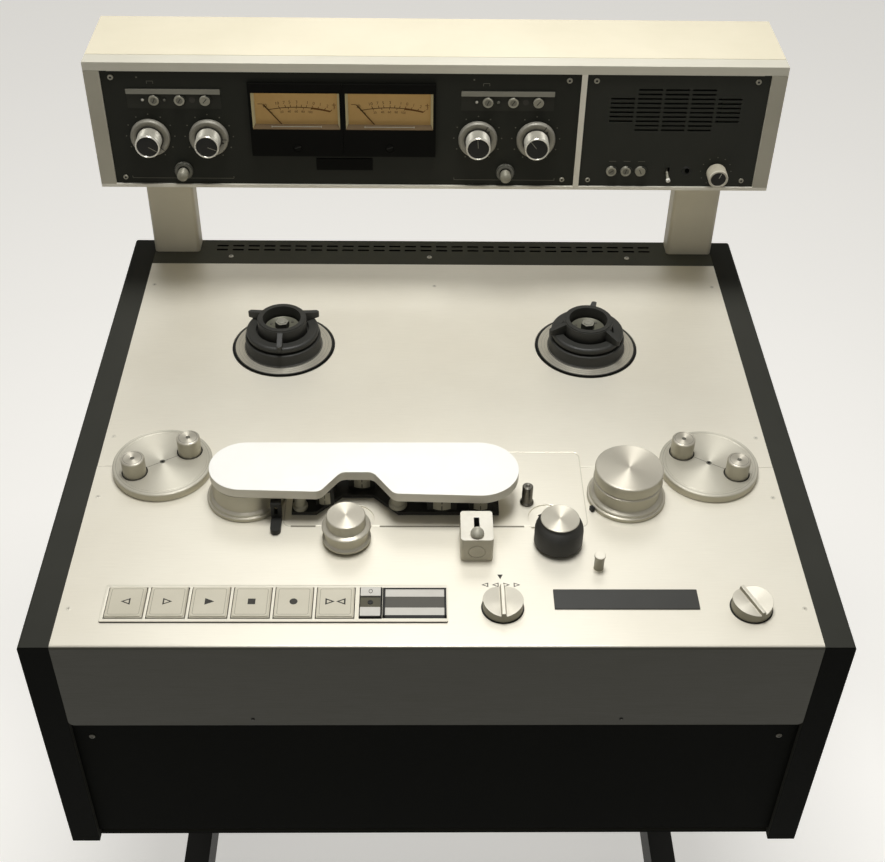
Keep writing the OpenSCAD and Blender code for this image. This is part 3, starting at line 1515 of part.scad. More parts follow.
// Timer roller: flange, drum, upper lip and a turned cap
module timer_roller() {
  r = idler_flange_d / 2;
  lip = timer_h - timer_cap_h;
  color(turned_aluminium) on_deck(idler_x, idler_y) rotate_extrude() polygon([
    [0, chassis_bottom + 2], [idler_shaft_d / 2, chassis_bottom + 2], [idler_shaft_d / 2, move_clear],
    [r, move_clear], [r, idler_flange_t - 1.6], [r - 0.6, idler_flange_t - 1], [r - 2, idler_flange_t - 1],
    [r - 2, idler_flange_t], [r - 3, idler_flange_t + 1.5], [drum_d / 2 - 1, idler_flange_t + 2.5],
    [drum_d / 2 - 1, lip - 4.5], [timer_cap_d / 2 + 0.5, lip - 3.5], [timer_cap_d / 2 + 0.5, lip - 1],
    [timer_cap_d / 2 - 1, lip - 0.5], [timer_cap_d / 2 - 1, lip + 0.5], [timer_cap_d / 2, lip + 1],
    [timer_cap_d / 2, timer_h - 0.8], [timer_cap_d / 2 - 0.8, timer_h], [0, timer_h],
  ]);
}

module capstan() {
  r = capstan_d / 2;
  color([0.30, 0.29, 0.28]) on_deck(capstan_x, capstan_y) rotate_extrude() polygon([
    [0, chassis_bottom - motor_shaft_l], [capstan_shaft_d / 2, chassis_bottom - motor_shaft_l],
    [capstan_shaft_d / 2, move_clear], [r + 1.4, move_clear], [r + 1.4, 1.6], [r, 3], [r, capstan_h - 0.6],
    [r - 0.6, capstan_h], [1.6, capstan_h], [0.8, capstan_h - 1.2], [0, capstan_h - 1.2],
  ]);
}

// Arm under the deck: a pivot shaft, a bar and the spindle of its roller
module swing_arm(x, y, l, angle) {
  color(cast_grey) on_deck(x, y) rotate([0, 0, angle]) {
    rod(arm_shaft_d, chassis_bottom + 1, arm_top);
    translate([0, 0, arm_bottom]) {
      cylinder(d = arm_w, h = arm_t);
      translate([0, -arm_w / 2, 0]) cube([l, arm_w, arm_t]);
      translate([l, 0, 0]) cylinder(d = arm_w, h = arm_t);
    }
    translate([l, 0, 0]) {
      rod(arm_spindle_d, arm_top - eps, swing_gap - move_clear);
      rod(arm_pin_d, swing_gap - move_clear - eps, swing_h - 5);
    }
  }
}

module pinch_arm() {
  swing_arm(pinch_pivot_x, pinch_pivot_y, pinch_arm_l, pinch_rest);
}

module guide_arm() {
  swing_arm(guide_pivot_x, guide_pivot_y, guide_arm_l, guide_rest);
}

// Rubber roller with round shoulders and a turned cap
module pinch_roller() {
  r = swing_d / 2;
  bore = arm_pin_d / 2 + run_clear;
  edge = swing_cap_d / 2;
  shoulder = swing_h - swing_lip;
  slope = r - edge;
  color(black_plastic) on_deck(pinch_x, pinch_y) rotate_extrude() polygon([
    [bore, swing_gap], [r - 1.5, swing_gap], [r, swing_gap + 1.5], [r, shoulder - 10],
    [r - slope * 0.1, shoulder - 7], [r - slope * 0.34, shoulder - 4], [r - slope * 0.66, shoulder - 1.7],
    [edge, shoulder], [edge, swing_h - 0.4], [edge - 0.4, swing_h],
    [0, swing_h], [0, swing_h - 4], [bore, swing_h - 4],
  ]);
}

// Metal guide roller with two flanges and a turned cap
module guide_roller() {
  r = swing_d / 2;
  bore = arm_pin_d / 2 + run_clear;
  waist = r - 2.4;
  lip = swing_h - 11;
  color(turned_aluminium) on_deck(guide_x, guide_y) rotate_extrude() polygon([
    [bore, swing_gap], [r - 0.8, swing_gap], [r, swing_gap + 0.8], [r, swing_gap + 2.6],
    [waist, swing_gap + 4],
    [waist, lip - 4], [r, lip - 2.8], [r, lip - 1], [r - 1, lip], [swing_cap_d / 2, lip + 0.6],
    [swing_cap_d / 2, swing_h - 0.7], [swing_cap_d / 2 - 0.7, swing_h], [0, swing_h], [0, swing_h - 4],
    [bore, swing_h - 4],
  ]);
}

deck_plate_rear();
deck_plate_front();
head_plate();
tape_heads();
head_cover();
side_panels();
case_covers();
chassis();
drive_motors();
stand_frame();
bridge_posts();
bridge_shell();
meter_panel();
speaker_panel();
vu_meters();
monitor_speaker();
tape_cutter();
key_frame();
reel_turntable(-1);  // reel_turntable_left
reel_turntable(1);  // reel_turntable_right
hub_lock(-1, lock_left_a);  // hub_lock_left
hub_lock(1, lock_right_a);  // hub_lock_right
tension_disc(-1);  // tension_disc_left
tension_disc(1);  // tension_disc_right
tension_roller(-1, 180);  // tension_roller_left_outer
tension_roller(-1, 0);  // tension_roller_left_inner
tension_roller(1, 180);  // tension_roller_right_inner
tension_roller(1, 0);  // tension_roller_right_outer
idler_roller();
timer_roller();
capstan();
pinch_arm();
pinch_roller();
guide_arm();
guide_roller();
lifter_lever();
cutter_knob();
key(0);  // key_rewind
key(1);  // key_forward
key(2);  // key_play
key(3);  // key_stop
key(4);  // key_record
key(5);  // key_edit
counter_rocker();
shuttle_knob();
selector_knob();
level_ring(-1, -1);  // level_ring_1
level_ring(-1, 1);  // level_ring_2
level_ring(1, -1);  // level_ring_3
level_ring(1, 1);  // level_ring_4
level_knob(-1, -1);  // level_knob_1
level_knob(-1, 1);  // level_knob_2
level_knob(1, -1);  // level_knob_3
level_knob(1, 1);  // level_knob_4
test_button(-1);  // test_button_left
test_button(1);  // test_button_right
volume_knob();
monitor_switch();
vu_needle(-1);  // vu_needle_left
vu_needle(1);  // vu_needle_right
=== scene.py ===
import bpy
import bmesh
from math import asin, atan2, cos, pi, radians, sin, sqrt
from mathutils import Matrix, Vector


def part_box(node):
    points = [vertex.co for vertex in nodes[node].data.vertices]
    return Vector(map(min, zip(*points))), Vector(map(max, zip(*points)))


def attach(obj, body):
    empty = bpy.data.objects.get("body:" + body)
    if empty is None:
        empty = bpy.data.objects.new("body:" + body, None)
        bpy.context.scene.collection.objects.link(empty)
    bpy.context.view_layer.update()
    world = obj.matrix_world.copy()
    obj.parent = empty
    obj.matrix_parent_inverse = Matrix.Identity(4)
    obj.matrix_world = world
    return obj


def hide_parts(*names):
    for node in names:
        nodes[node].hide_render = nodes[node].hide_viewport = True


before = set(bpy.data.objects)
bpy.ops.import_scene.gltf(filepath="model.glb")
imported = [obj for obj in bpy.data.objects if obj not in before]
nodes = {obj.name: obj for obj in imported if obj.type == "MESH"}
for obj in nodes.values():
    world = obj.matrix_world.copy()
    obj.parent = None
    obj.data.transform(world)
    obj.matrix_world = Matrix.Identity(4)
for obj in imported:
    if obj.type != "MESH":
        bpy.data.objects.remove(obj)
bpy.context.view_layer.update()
mm = 0.001
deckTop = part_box("deck_plate_rear")[1].z  # layouts below are in mm from the deck's top
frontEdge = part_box("side_panels")[0].y  # and from its front edge
panelDepth = 492.0  # face of the bridge's panels
print("recorder frame loaded:", len(nodes), "solids")


class Layout:  # values by name
    def __init__(self, **values):
        for name, value in values.items():
            setattr(self, name, value)


# places on the recorder
def spun(turn, axis="Z"):
    return Matrix.Rotation(radians(turn), 4, axis)


def moved(spot, x, y, z):
    return spot @ Matrix.Translation((x * mm, y * mm, z * mm))


def onDeck(x, y, z=0.0, turn=0.0):
    return Matrix.Translation((x * mm, frontEdge + y * mm, deckTop + z * mm)) @ spun(turn)


def facing(x, y, z, turn=0.0):  # X right, Y up, Z towards the operator
    spot = Matrix(((1, 0, 0, x * mm), (0, 0, -1, frontEdge + y * mm), (0, 1, 0, deckTop + z * mm), (0, 0, 0, 1)))
    return spot @ spun(turn)


def onPanel(x, z, out=0.0, turn=0.0):
    return facing(x, panelDepth - out, z, turn)


def onBack(x, z, y=594.0):
    return Matrix(((-1, 0, 0, x * mm), (0, 0, 1, frontEdge + y * mm), (0, 1, 0, deckTop + z * mm), (0, 0, 0, 1)))


# outlines in mm
def bar(w, h, cx=0.0, cy=0.0):
    return [(cx - w / 2, cy - h / 2), (cx + w / 2, cy - h / 2), (cx + w / 2, cy + h / 2), (cx - w / 2, cy + h / 2)]


def softBar(w, h, r, cx=0.0, cy=0.0, steps=5):
    points = []
    for sx, sy, start in ((1, 1, 0), (-1, 1, 90), (-1, -1, 180), (1, -1, 270)):
        for i in range(steps + 1):
            a = radians(start + 90 * i / steps)
            points.append((cx + sx * (w / 2 - r) + r * cos(a), cy + sy * (h / 2 - r) + r * sin(a)))
    return points


def disc(r, cx=0.0, cy=0.0, steps=24):
    return [(cx + r * cos(2 * pi * i / steps), cy + r * sin(2 * pi * i / steps)) for i in range(steps)]


def hexagon(r, turn):
    return [(r * cos(radians(60 * i + turn)), r * sin(radians(60 * i + turn))) for i in range(6)]


def stroke(x0, y0, x1, y1, w):
    along = Vector((x1 - x0, y1 - y0)).normalized() * (w / 2)
    side = Vector((-along.y, along.x))
    a, b = Vector((x0, y0)), Vector((x1, y1))
    return [tuple(a - side), tuple(b - side), tuple(b + side), tuple(a + side)]


# shapes
bm = bmesh.new()  # the piece in hand, which finished() takes and clears for the next


def ringAt(spot, outline, z):
    return [bm.verts.new(spot @ Vector((x * mm, y * mm, z * mm))) for x, y in outline]


def joined(low, high, finish=0):  # faces between two rings, of which one may be a point
    count = max(len(low), len(high))
    for i in range(count):
        j = (i + 1) % count
        corners = (low[i % len(low)], low[j % len(low)], high[j % len(high)], high[i % len(high)])
        bm.faces.new(list(dict.fromkeys(corners))).material_index = finish


def lifted(spot, outline, low, high, finish=0):
    bottom, top = ringAt(spot, outline, low), ringAt(spot, outline, high)
    bm.faces.new(bottom[::-1]).material_index = finish
    bm.faces.new(top).material_index = finish
    joined(bottom, top, finish)


def turned(spot, profile, steps=48, finish=0, ripple=0.0):
    widest, rings = max(r for r, z in profile), []
    for r, z in profile:
        notch = ripple if r == widest else 0.0
        points = []
        for i in range(steps if r else 1):
            a, reach = 2 * pi * i / steps, r - notch * (i % 2)
            points.append((reach * cos(a), reach * sin(a)))
        rings.append(ringAt(spot, points, z))
    for low, high in zip(rings, rings[1:]):
        joined(low, high, finish)


def band(spot, r, wide, low, high, steps=96, finish=0):  # a flat ring
    turned(spot, [(r, low), (r, high), (r + wide, high), (r + wide, low)], steps, finish)


def framed(spot, outer, inner, low, high, finish=0):  # the strip between two outlines
    for k in range(len(outer)):
        n = (k + 1) % len(outer)
        lifted(spot, [outer[k], outer[n], inner[n], inner[k]], low, high, finish)


def printed(spot, outline, finish=0, rise=0.05):  # a thin mark that stands on a surface
    lifted(spot, outline, -0.02, rise, finish)


def middle(node):  # a solid's middle, in mm as the layouts have it
    low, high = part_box(node)
    mid = (low + high) / 2
    return mid.x / mm, (mid.y - frontEdge) / mm, (mid.z - deckTop) / mm


def onFace(node):  # the same across and up the bridge's panels
    x, y, z = middle(node)
    return x, z


def standsOut(node):  # how far a solid stands out of the bridge's panels, in mm
    return (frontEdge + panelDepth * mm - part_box(node)[0].y) / mm


def numberMark(spot, words, size, finish=0):
    line = bpy.data.curves.new("dialNumber", "FONT")
    line.body, line.size, line.align_x, line.align_y = words, size * mm, "CENTER", "CENTER"
    carrier = bpy.data.objects.new("dialNumber", line)
    bpy.context.scene.collection.objects.link(carrier)
    bpy.context.view_layer.update()
    flat = carrier.evaluated_get(bpy.context.evaluated_depsgraph_get()).to_mesh()
    corners = [bm.verts.new(spot @ v.co) for v in flat.vertices]
    for polygon in flat.polygons:
        bm.faces.new([corners[i] for i in polygon.vertices]).material_index = finish
    bpy.data.objects.remove(carrier)
    bpy.data.curves.remove(line)


# finishes
def tone(r, g, b):
    parts = [c / 255 for c in (r, g, b)]
    return [c / 12.92 if c <= 0.04045 else ((c + 0.055) / 1.055) ** 2.4 for c in parts] + [1.0]


def feed(tree, node, **sockets):  # a link, or a plain value
    for key, value in sockets.items():
        socket = node.inputs[int(key[1:]) if key[1:].isdigit() else key.replace("_", " ")]
        if isinstance(value, bpy.types.NodeSocket):
            tree.links.new(value, socket)
        else:
            socket.default_value = value
    return node


def addNode(tree, kind, settings=None, **sockets):
    made = tree.nodes.new("ShaderNode" + kind)
    for key, value in (settings or {}).items():
        setattr(made, key, value)
    return feed(tree, made, **sockets)


def spread(tree, value, low, high, fromLow=0.0, fromHigh=1.0):
    ends = {"From_Min": fromLow, "From_Max": fromHigh, "To_Min": low, "To_Max": high}
    return addNode(tree, "MapRange", None, Value=value, **ends).outputs[0]


def stepAt(tree, value, edge, soft, low=0, high=1):
    return spread(tree, value, low, high, edge - soft, edge + soft)


def blendColour(tree, share, a, b):
    return addNode(tree, "Mix", {"data_type": "RGBA"}, i0=share, i6=a, i7=b).outputs[2]


def blendValue(tree, share, a, b):
    return addNode(tree, "Mix", {"data_type": "FLOAT"}, i0=share, i2=a, i3=b).outputs[0]


# where a second finish shows on the same solid
def coordinate(tree, kind, axis):  # kind: Normal, Generated (0 to 1 over the solid) or Object (metres)
    spot = addNode(tree, "TexCoord").outputs[kind]
    return addNode(tree, "SeparateXYZ", None, Vector=spot).outputs["XYZ".index(axis)]


def combined(tree, operation, a, b, kind="Math"):
    return addNode(tree, kind, {"operation": operation}, i0=a, i1=b).outputs[0]


def both(tree, a, b):
    return combined(tree, "MULTIPLY", a, b)


def outside(tree, mask):
    return combined(tree, "SUBTRACT", 1.0, mask)


def below(tree, z, soft=0.2):  # under z mm over the deck
    return stepAt(tree, coordinate(tree, "Object", "Z"), deckTop + z * mm, soft * mm, 1, 0)


def between(tree, axis, low, high, soft=0.15):
    place = coordinate(tree, "Object", axis)
    return both(tree, stepAt(tree, place, low, soft * mm), stepAt(tree, place, high, soft * mm, 1, 0))


def frontMask(tree):  # faces turned to the operator
    return spread(tree, coordinate(tree, "Normal", "Y"), 0, 1, -0.35, -0.75)


def litTops(tree):  # faces turned up, where a lighter tone is painted light
    return spread(tree, coordinate(tree, "Normal", "Z"), 0, 1, 0.4, 0.8)


def shadedSides(tree):  # upright faces, where a darker tone is painted shade
    return spread(tree, coordinate(tree, "Normal", "Z"), 1, 0, 0.3, 0.75)


def apronShadeMask(tree):  # the front deck's folded apron, not the pin that stands on it, where a darker tone is painted shade
    return both(tree, frontMask(tree), below(tree, -0.1))


def pinSideShade(tree):  # the sides of the pin on the front deck, painted darker as shade
    return both(tree, shadedSides(tree), outside(tree, below(tree, 0.6)))


def fromAxis(tree, axis="Z"):  # 0 on the axis, 0.5 at the rim
    place = addNode(tree, "TexCoord").outputs["Generated"]
    flat = (1, 1, 0) if axis == "Z" else (1, 0, 1)
    centred = combined(tree, "SUBTRACT", place, (0.5, 0.5, 0.5), "VectorMath")
    flattened = combined(tree, "MULTIPLY", centred, flat, "VectorMath")
    return addNode(tree, "VectorMath", {"operation": "LENGTH"}, i0=flattened).outputs["Value"]


def rimMask(share, soft=0.004):  # outside a share of the solid's width
    return lambda tree: stepAt(tree, fromAxis(tree), share, soft)


def belowMask(share, soft=0.004):  # under a share of the solid's height
    return lambda tree: stepAt(tree, coordinate(tree, "Generated", "Z"), share, soft, 1, 0)


# mm from the front edge, and over the deck
bridgeParts = Layout(coverFrom=507.4, lipUnder=254.0, railTop=132.5)


def coverMask(tree):  # the bridge behind its metal frame
    edge = frontEdge + bridgeParts.coverFrom * mm
    return stepAt(tree, coordinate(tree, "Object", "Y"), edge, 0.2 * mm)


def endMask(tree):  # the frame's two end strips
    left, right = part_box("meter_panel")[0].x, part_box("speaker_panel")[1].x
    inside = between(tree, "X", left - 0.2 * mm, right + 0.2 * mm)
    return both(tree, outside(tree, inside), below(tree, bridgeParts.lipUnder))


def railMask(tree):  # the thin rail under the panels, and the bar between them
    left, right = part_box("meter_panel")[1].x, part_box("speaker_panel")[0].x
    divider = both(tree, between(tree, "X", left - 0.3 * mm, right + 0.3 * mm), below(tree, bridgeParts.lipUnder))
    return combined(tree, "MAXIMUM", below(tree, bridgeParts.railTop), divider)


def keyWellShade(tree):  # the key frame's wells and outer edge, painted black for their shade
    return below(tree, 1.25, 0.15)


# the cutter's slot, painted pitch black for the shade in it
def cutterSlotShade(tree):
    low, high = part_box("tape_cutter")
    mid = (low.x + high.x) / 2
    across = between(tree, "X", mid - 2.35 * mm, mid + 2.35 * mm)
    return both(tree, across, between(tree, "Y", low.y + 3.9 * mm, low.y + 27.4 * mm))


def rollerWellShade(tree):  # the sunk rings round a tension disc's rollers, painted black for their shade
    return both(tree, below(tree, 7.7), spread(tree, fromAxis(tree), 1, 0, 0.43, 0.44))


finishOf = {}
# cloud and grain are per metre, depth in metres; round is the axis of turned metal
plainLook = dict(cloud=40.0, share=0.6, rough=0.5, swing=0.06, grain=1500.0, stretch=(1, 1, 1), bump=0.05,
    depth=0.0001, metal=0.0, gloss=0.5, coat=0.0, round=None, rings=420.0, sheen=0.85, lit=0.0)


def coat(tone, tint, kind=None, **more):
    return dict(kind or {}, tone=tone, tint=tint, **more)


def layFinish(name, look, *overlays):  # overlays: (look, mask) pairs laid over the first look
    full = Layout(**{**plainLook, **look})
    made = bpy.data.materials.new(name)
    made.use_nodes = True
    tree = made.node_tree
    shader = tree.nodes["Principled BSDF"]
    place = addNode(tree, "TexCoord").outputs["Object"]
    if full.round:  # rings left by the lathe tool
        along = both(tree, coordinate(tree, "Object", full.round), 4000.0)
        across = combined(tree, "ADD", both(tree, fromAxis(tree, full.round), full.rings), along)
        fine = addNode(tree, "TexNoise", {"noise_dimensions": "1D"}, W=across, Scale=1.0, Detail=2.0).outputs[0]
    else:
        run = addNode(tree, "Mapping", None, Vector=place, Scale=[full.grain * s for s in full.stretch]).outputs[0]
        fine = addNode(tree, "TexNoise", None, Vector=run, Scale=1.0, Detail=3.0).outputs[0]
    smudge = addNode(tree, "TexNoise", None, Vector=place, Scale=full.cloud, Detail=5.0, Roughness=0.6).outputs[0]
    patch = spread(tree, smudge, 0, full.share, 0.35, 0.7)

    def mottled(coat):
        return blendColour(tree, patch, tone(*coat.tone), tone(*coat.tint))

    def worn(coat):
        return spread(tree, fine, coat.rough - coat.swing, coat.rough + coat.swing, 0.25, 0.75)

    flecks = spread(tree, fine, 0.0, 0.10, 0.3, 0.8)
    colour = blendColour(tree, flecks, mottled(full), [c * 0.6 for c in tone(*full.tint)[:3]] + [1.0])
    rough, metal = worn(full), full.metal
    for second, where in overlays:
        share, over = where(tree), Layout(**{**plainLook, **second})
        colour = blendColour(tree, share, colour, mottled(over))
        rough = blendValue(tree, share, rough, worn(over))
        metal = blendValue(tree, share, metal, over.metal)
    lift = addNode(tree, "Bump", None, Height=fine, Strength=full.bump, Distance=full.depth).outputs[0]
    feed(tree, shader, Base_Color=colour, Roughness=rough, Normal=lift, Metallic=metal, Specular_IOR_Level=full.gloss)
    feed(tree, shader, Coat_Weight=full.coat, Emission_Color=tone(*full.tone), Emission_Strength=full.lit)
    if full.round:
        tangent = addNode(tree, "Tangent", {"direction_type": "RADIAL", "axis": full.round}).outputs[0]
        feed(tree, shader, Anisotropic=full.sheen, Anisotropic_Rotation=0.25, Tangent=tangent)
    finishOf[name] = made


boltKind = dict(cloud=120, grain=2200, bump=0.06)
panelKind = dict(cloud=16, rough=0.55, grain=2400, bump=0.12, depth=0.0002)
inkKind = dict(rough=0.6, swing=0.05, grain=2000, bump=0.03, gloss=0.2)
dialKind = dict(cloud=60, round="Y")
looks = {
    "brushedDeck": coat((232, 227, 211), (220, 214, 197), cloud=5, share=0.7, rough=0.4, stretch=(0.03, 1, 1),
        bump=0.08, metal=0.45),
    # the apron is the deck's own metal; its dark tone is painted shade on the front-facing apron
    "apronPaintedShade": coat((50, 49, 36), (46, 45, 32), rough=0.48, swing=0.08, metal=0.1),
    "hubBlack": coat((37, 37, 33), (46, 45, 41), swing=0.1, grain=1800, bump=0.2, depth=0.0002, gloss=0.35),
    "flangeMetal": coat((196, 192, 178), (182, 177, 163), rough=0.34, swing=0.08, metal=0.7),
    "turnedMetal": coat((192, 187, 172), (182, 176, 161), cloud=30, rough=0.4, swing=0.05, metal=0.7, round="Z",
        sheen=0.75),
    "discMetal": coat((188, 184, 169), (179, 174, 159), cloud=30, rough=0.48, swing=0.05, metal=0.5, round="Z",
        sheen=0.65),
    # the turned metal darkened on upright faces: painted shade
    "drumPaintedShade": coat((182, 177, 158), (166, 161, 143), rough=0.42, metal=0.5),
    "knobMetal": coat((214, 209, 193), (203, 197, 181), metal=0.3, round="Z", sheen=0.5),
    # a darker tone on the upright sides of the knobs and the deck pin: painted shade
    "skirtPaintedShade": coat((140, 136, 119), (124, 120, 104), rough=0.45, metal=0.3),
    "dullMetal": coat((168, 165, 150), (152, 149, 134), cloud=60, rough=0.55, bump=0.08, metal=0.35, round="Z"),
    "rollerRubber": coat((27, 26, 20), (33, 32, 26), cloud=50, rough=0.52, swing=0.1, grain=2500, bump=0.2,
        depth=0.0002, gloss=0.3),
    "headWhite": coat((240, 239, 232), (234, 231, 222), cloud=14, rough=0.36, swing=0.05, grain=1600, bump=0.04),
    # the head cover's upright sides are the same white paint, darkened here as painted shade
    "headSidePaintedShade": coat((218, 214, 200), (206, 201, 186), rough=0.4, swing=0.05),
    "cutterWhite": coat((226, 222, 208), (210, 204, 187), rough=0.45, grain=1400, bump=0.08, depth=0.0002),
    # the cutter's upright sides darkened: painted shade
    "cutterSidePaintedShade": coat((188, 182, 163), (174, 168, 149), rough=0.45),
    "pitchBlack": coat((24, 24, 21), (31, 30, 27), swing=0.1, bump=0.12, depth=0.0002, gloss=0.25),
    "rimBeige": coat((222, 217, 200), (208, 202, 185), cloud=20, rough=0.45, stretch=(0.03, 1, 1), bump=0.06,
        metal=0.2),
    "keyBeige": coat((199, 193, 174), (189, 183, 163), cloud=26, rough=0.36, swing=0.05, grain=1300, gloss=0.4),
    "groundSteel": coat((106, 103, 95), (84, 81, 74), rough=0.28, depth=0.0002, metal=0.95, round="Z"),
    "castGrey": coat((150, 148, 142), (124, 122, 116), cloud=30, rough=0.55, swing=0.1, grain=900, bump=0.3,
        depth=0.0004, metal=0.5),
    "inkBlack": coat((44, 42, 37), (60, 57, 49), cloud=90, rough=0.55, swing=0.08, grain=2500, gloss=0.3),
    "printWhite": coat((226, 223, 212), (204, 200, 188), cloud=90, swing=0.08, grain=2500),
    "boltPale": coat((206, 202, 188), (184, 180, 166), boltKind, rough=0.42, metal=0.5),
    "boltDeck": coat((214, 209, 194), (196, 191, 176), boltKind, rough=0.45, metal=0.4),
    "slotGrey": coat((150, 146, 132), (128, 124, 111), boltKind, metal=0.3),
    "boltDark": coat((104, 102, 92), (72, 70, 62), cloud=120, rough=0.45, swing=0.08, grain=2200, bump=0.1,
        metal=0.5),
    "charcoalBoard": coat((57, 57, 52), (51, 51, 46), cloud=12, rough=0.66, swing=0.08, grain=1800, bump=0.2,
        depth=0.0003, gloss=0.04),
    # the case covers are all black paint; this lighter tone on their up-facing faces is painted light
    "ventPaintedLight": coat((89, 89, 80), (81, 81, 72), rough=0.6, swing=0.08),
    "caseBlack": coat((8, 9, 6), (12, 13, 9), cloud=10, rough=0.62, swing=0.08, grain=2200, bump=0.25, depth=0.0003,
        gloss=0.03),
    "standBlack": coat((38, 38, 35), (46, 45, 41), cloud=8, swing=0.08, grain=1600, bump=0.2, depth=0.0003,
        gloss=0.25),
    "panelDeep": coat((37, 38, 32), (43, 43, 37), panelKind, gloss=0.12),
    "panelBlack": coat((42, 43, 37), (48, 48, 42), panelKind, gloss=0.15),
    "patchBlack": coat((44, 44, 38), (50, 50, 43), panelKind, gloss=0.15),
    "frameEnd": coat((176, 171, 154), (162, 157, 140), metal=0.1),
    "railPale": coat((226, 221, 206), (214, 209, 193), rough=0.45, metal=0.1),
    "bridgeCream": coat((214, 206, 182), (205, 197, 172), cloud=10, bump=0.1, depth=0.0002, gloss=0.35),
    "frameMetal": coat((206, 202, 186), (194, 190, 174), cloud=12, rough=0.45, stretch=(0.03, 1, 1), bump=0.08,
        metal=0.15),
    "postBeige": coat((220, 213, 191), (210, 203, 181), cloud=14, bump=0.12, depth=0.0002),
    "ringGrey": coat((142, 139, 127), (128, 124, 113), rough=0.52, grain=1600, bump=0.06, metal=0.25),
    "knurlGrey": coat((188, 185, 172), (168, 164, 151), dialKind, rough=0.48, metal=0.45),
    "rimMetal": coat((226, 223, 212), (212, 208, 196), dialKind, rough=0.3, swing=0.05, metal=0.7),
    "collarGrey": coat((98, 97, 87), (82, 81, 72), dialKind, metal=0.4),
    "buttonGrey": coat((142, 139, 124), (128, 125, 110), dialKind, rough=0.48, metal=0.25),
    "presetGrey": coat((150, 147, 132), (130, 127, 113), cloud=80, rough=0.45, metal=0.4, round="Y"),
    "presetCore": coat((112, 110, 98), (96, 94, 83), cloud=80, grain=2000, metal=0.3),
    "volumeCream": coat((178, 172, 153), (164, 158, 138), cloud=60, rough=0.46, grain=1600),
    "rimCream": coat((200, 194, 176), (188, 182, 164), cloud=60, rough=0.42, grain=1600, bump=0.04),
    "meterBlack": coat((9, 9, 7), (13, 13, 10), cloud=30, grain=1800, gloss=0.05),
    # the faces and window edges glow: painted light for the meter's inner lamp, and on the edges filling the window's
    # shade
    "meterAmberGlow": coat((184, 150, 95), (172, 138, 84), cloud=30, share=0.9, rough=0.6, swing=0.05, bump=0.03,
        gloss=0.2, lit=0.14),
    "meterSill": coat((98, 78, 48), (86, 68, 42), swing=0.05, bump=0.03, gloss=0.2),
    "meterEdgeGlow": coat((170, 160, 124), (156, 146, 111), rough=0.45, swing=0.05, bump=0.03, gloss=0.3, lit=0.16),
    "scaleInk": coat((84, 56, 26), (98, 68, 34), inkKind, cloud=90),
    "scaleBrown": coat((112, 72, 28), (102, 64, 24), inkKind, cloud=90),
    "stripGrey": coat((132, 130, 118), (118, 116, 105), grain=1600, stretch=(0.1, 1, 1), bump=0.08, metal=0.2),
    "lineGrey": coat((150, 147, 132), (128, 125, 111), inkKind, cloud=80),
    "lampPale": coat((188, 185, 172), (166, 163, 150), cloud=90, rough=0.25, swing=0.05, grain=2000, bump=0.02,
        coat=0.3),
    "motorGrey": coat((146, 147, 150), (124, 125, 128), cloud=20, swing=0.1, grain=1200, bump=0.25, depth=0.0003,
        metal=0.6),
}
layered = {
    "deckAndApron": ("brushedDeck", ("apronPaintedShade", apronShadeMask), ("skirtPaintedShade", pinSideShade)),
    "hubAndFlange": ("hubBlack", ("flangeMetal", rimMask(0.389))),
    "rubberAndCap": ("turnedMetal", ("rollerRubber", belowMask(0.975))),
    "frameAndCover": ("frameMetal", ("frameEnd", endMask), ("railPale", railMask), ("bridgeCream", coverMask)),
    "boardAndEdge": ("charcoalBoard", ("caseBlack", frontMask)),
    "caseAndVent": ("caseBlack", ("ventPaintedLight", litTops)),
    "keyRim": ("rimBeige", ("pitchBlack", keyWellShade)),
    "cutterAndSlot": ("cutterWhite", ("cutterSidePaintedShade", shadedSides), ("pitchBlack", cutterSlotShade)),
    "discAndWells": ("discMetal", ("drumPaintedShade", shadedSides), ("pitchBlack", rollerWellShade)),
    "turnedAndDrum": ("turnedMetal", ("drumPaintedShade", shadedSides)),
    "knobAndSkirt": ("knobMetal", ("skirtPaintedShade", shadedSides)),
    "coverAndSide": ("headWhite", ("headSidePaintedShade", shadedSides)),
}
for name, look in looks.items():
    layFinish(name, look)
for name, (first, *others) in layered.items():
    layFinish(name, looks[first], *((looks[other], mask) for other, mask in others))
print("finishes mixed:", len(finishOf))

transport = ("rewind", "forward", "play", "stop", "record", "edit")


def pair(stem):
    return [stem + "_left", stem + "_right"]


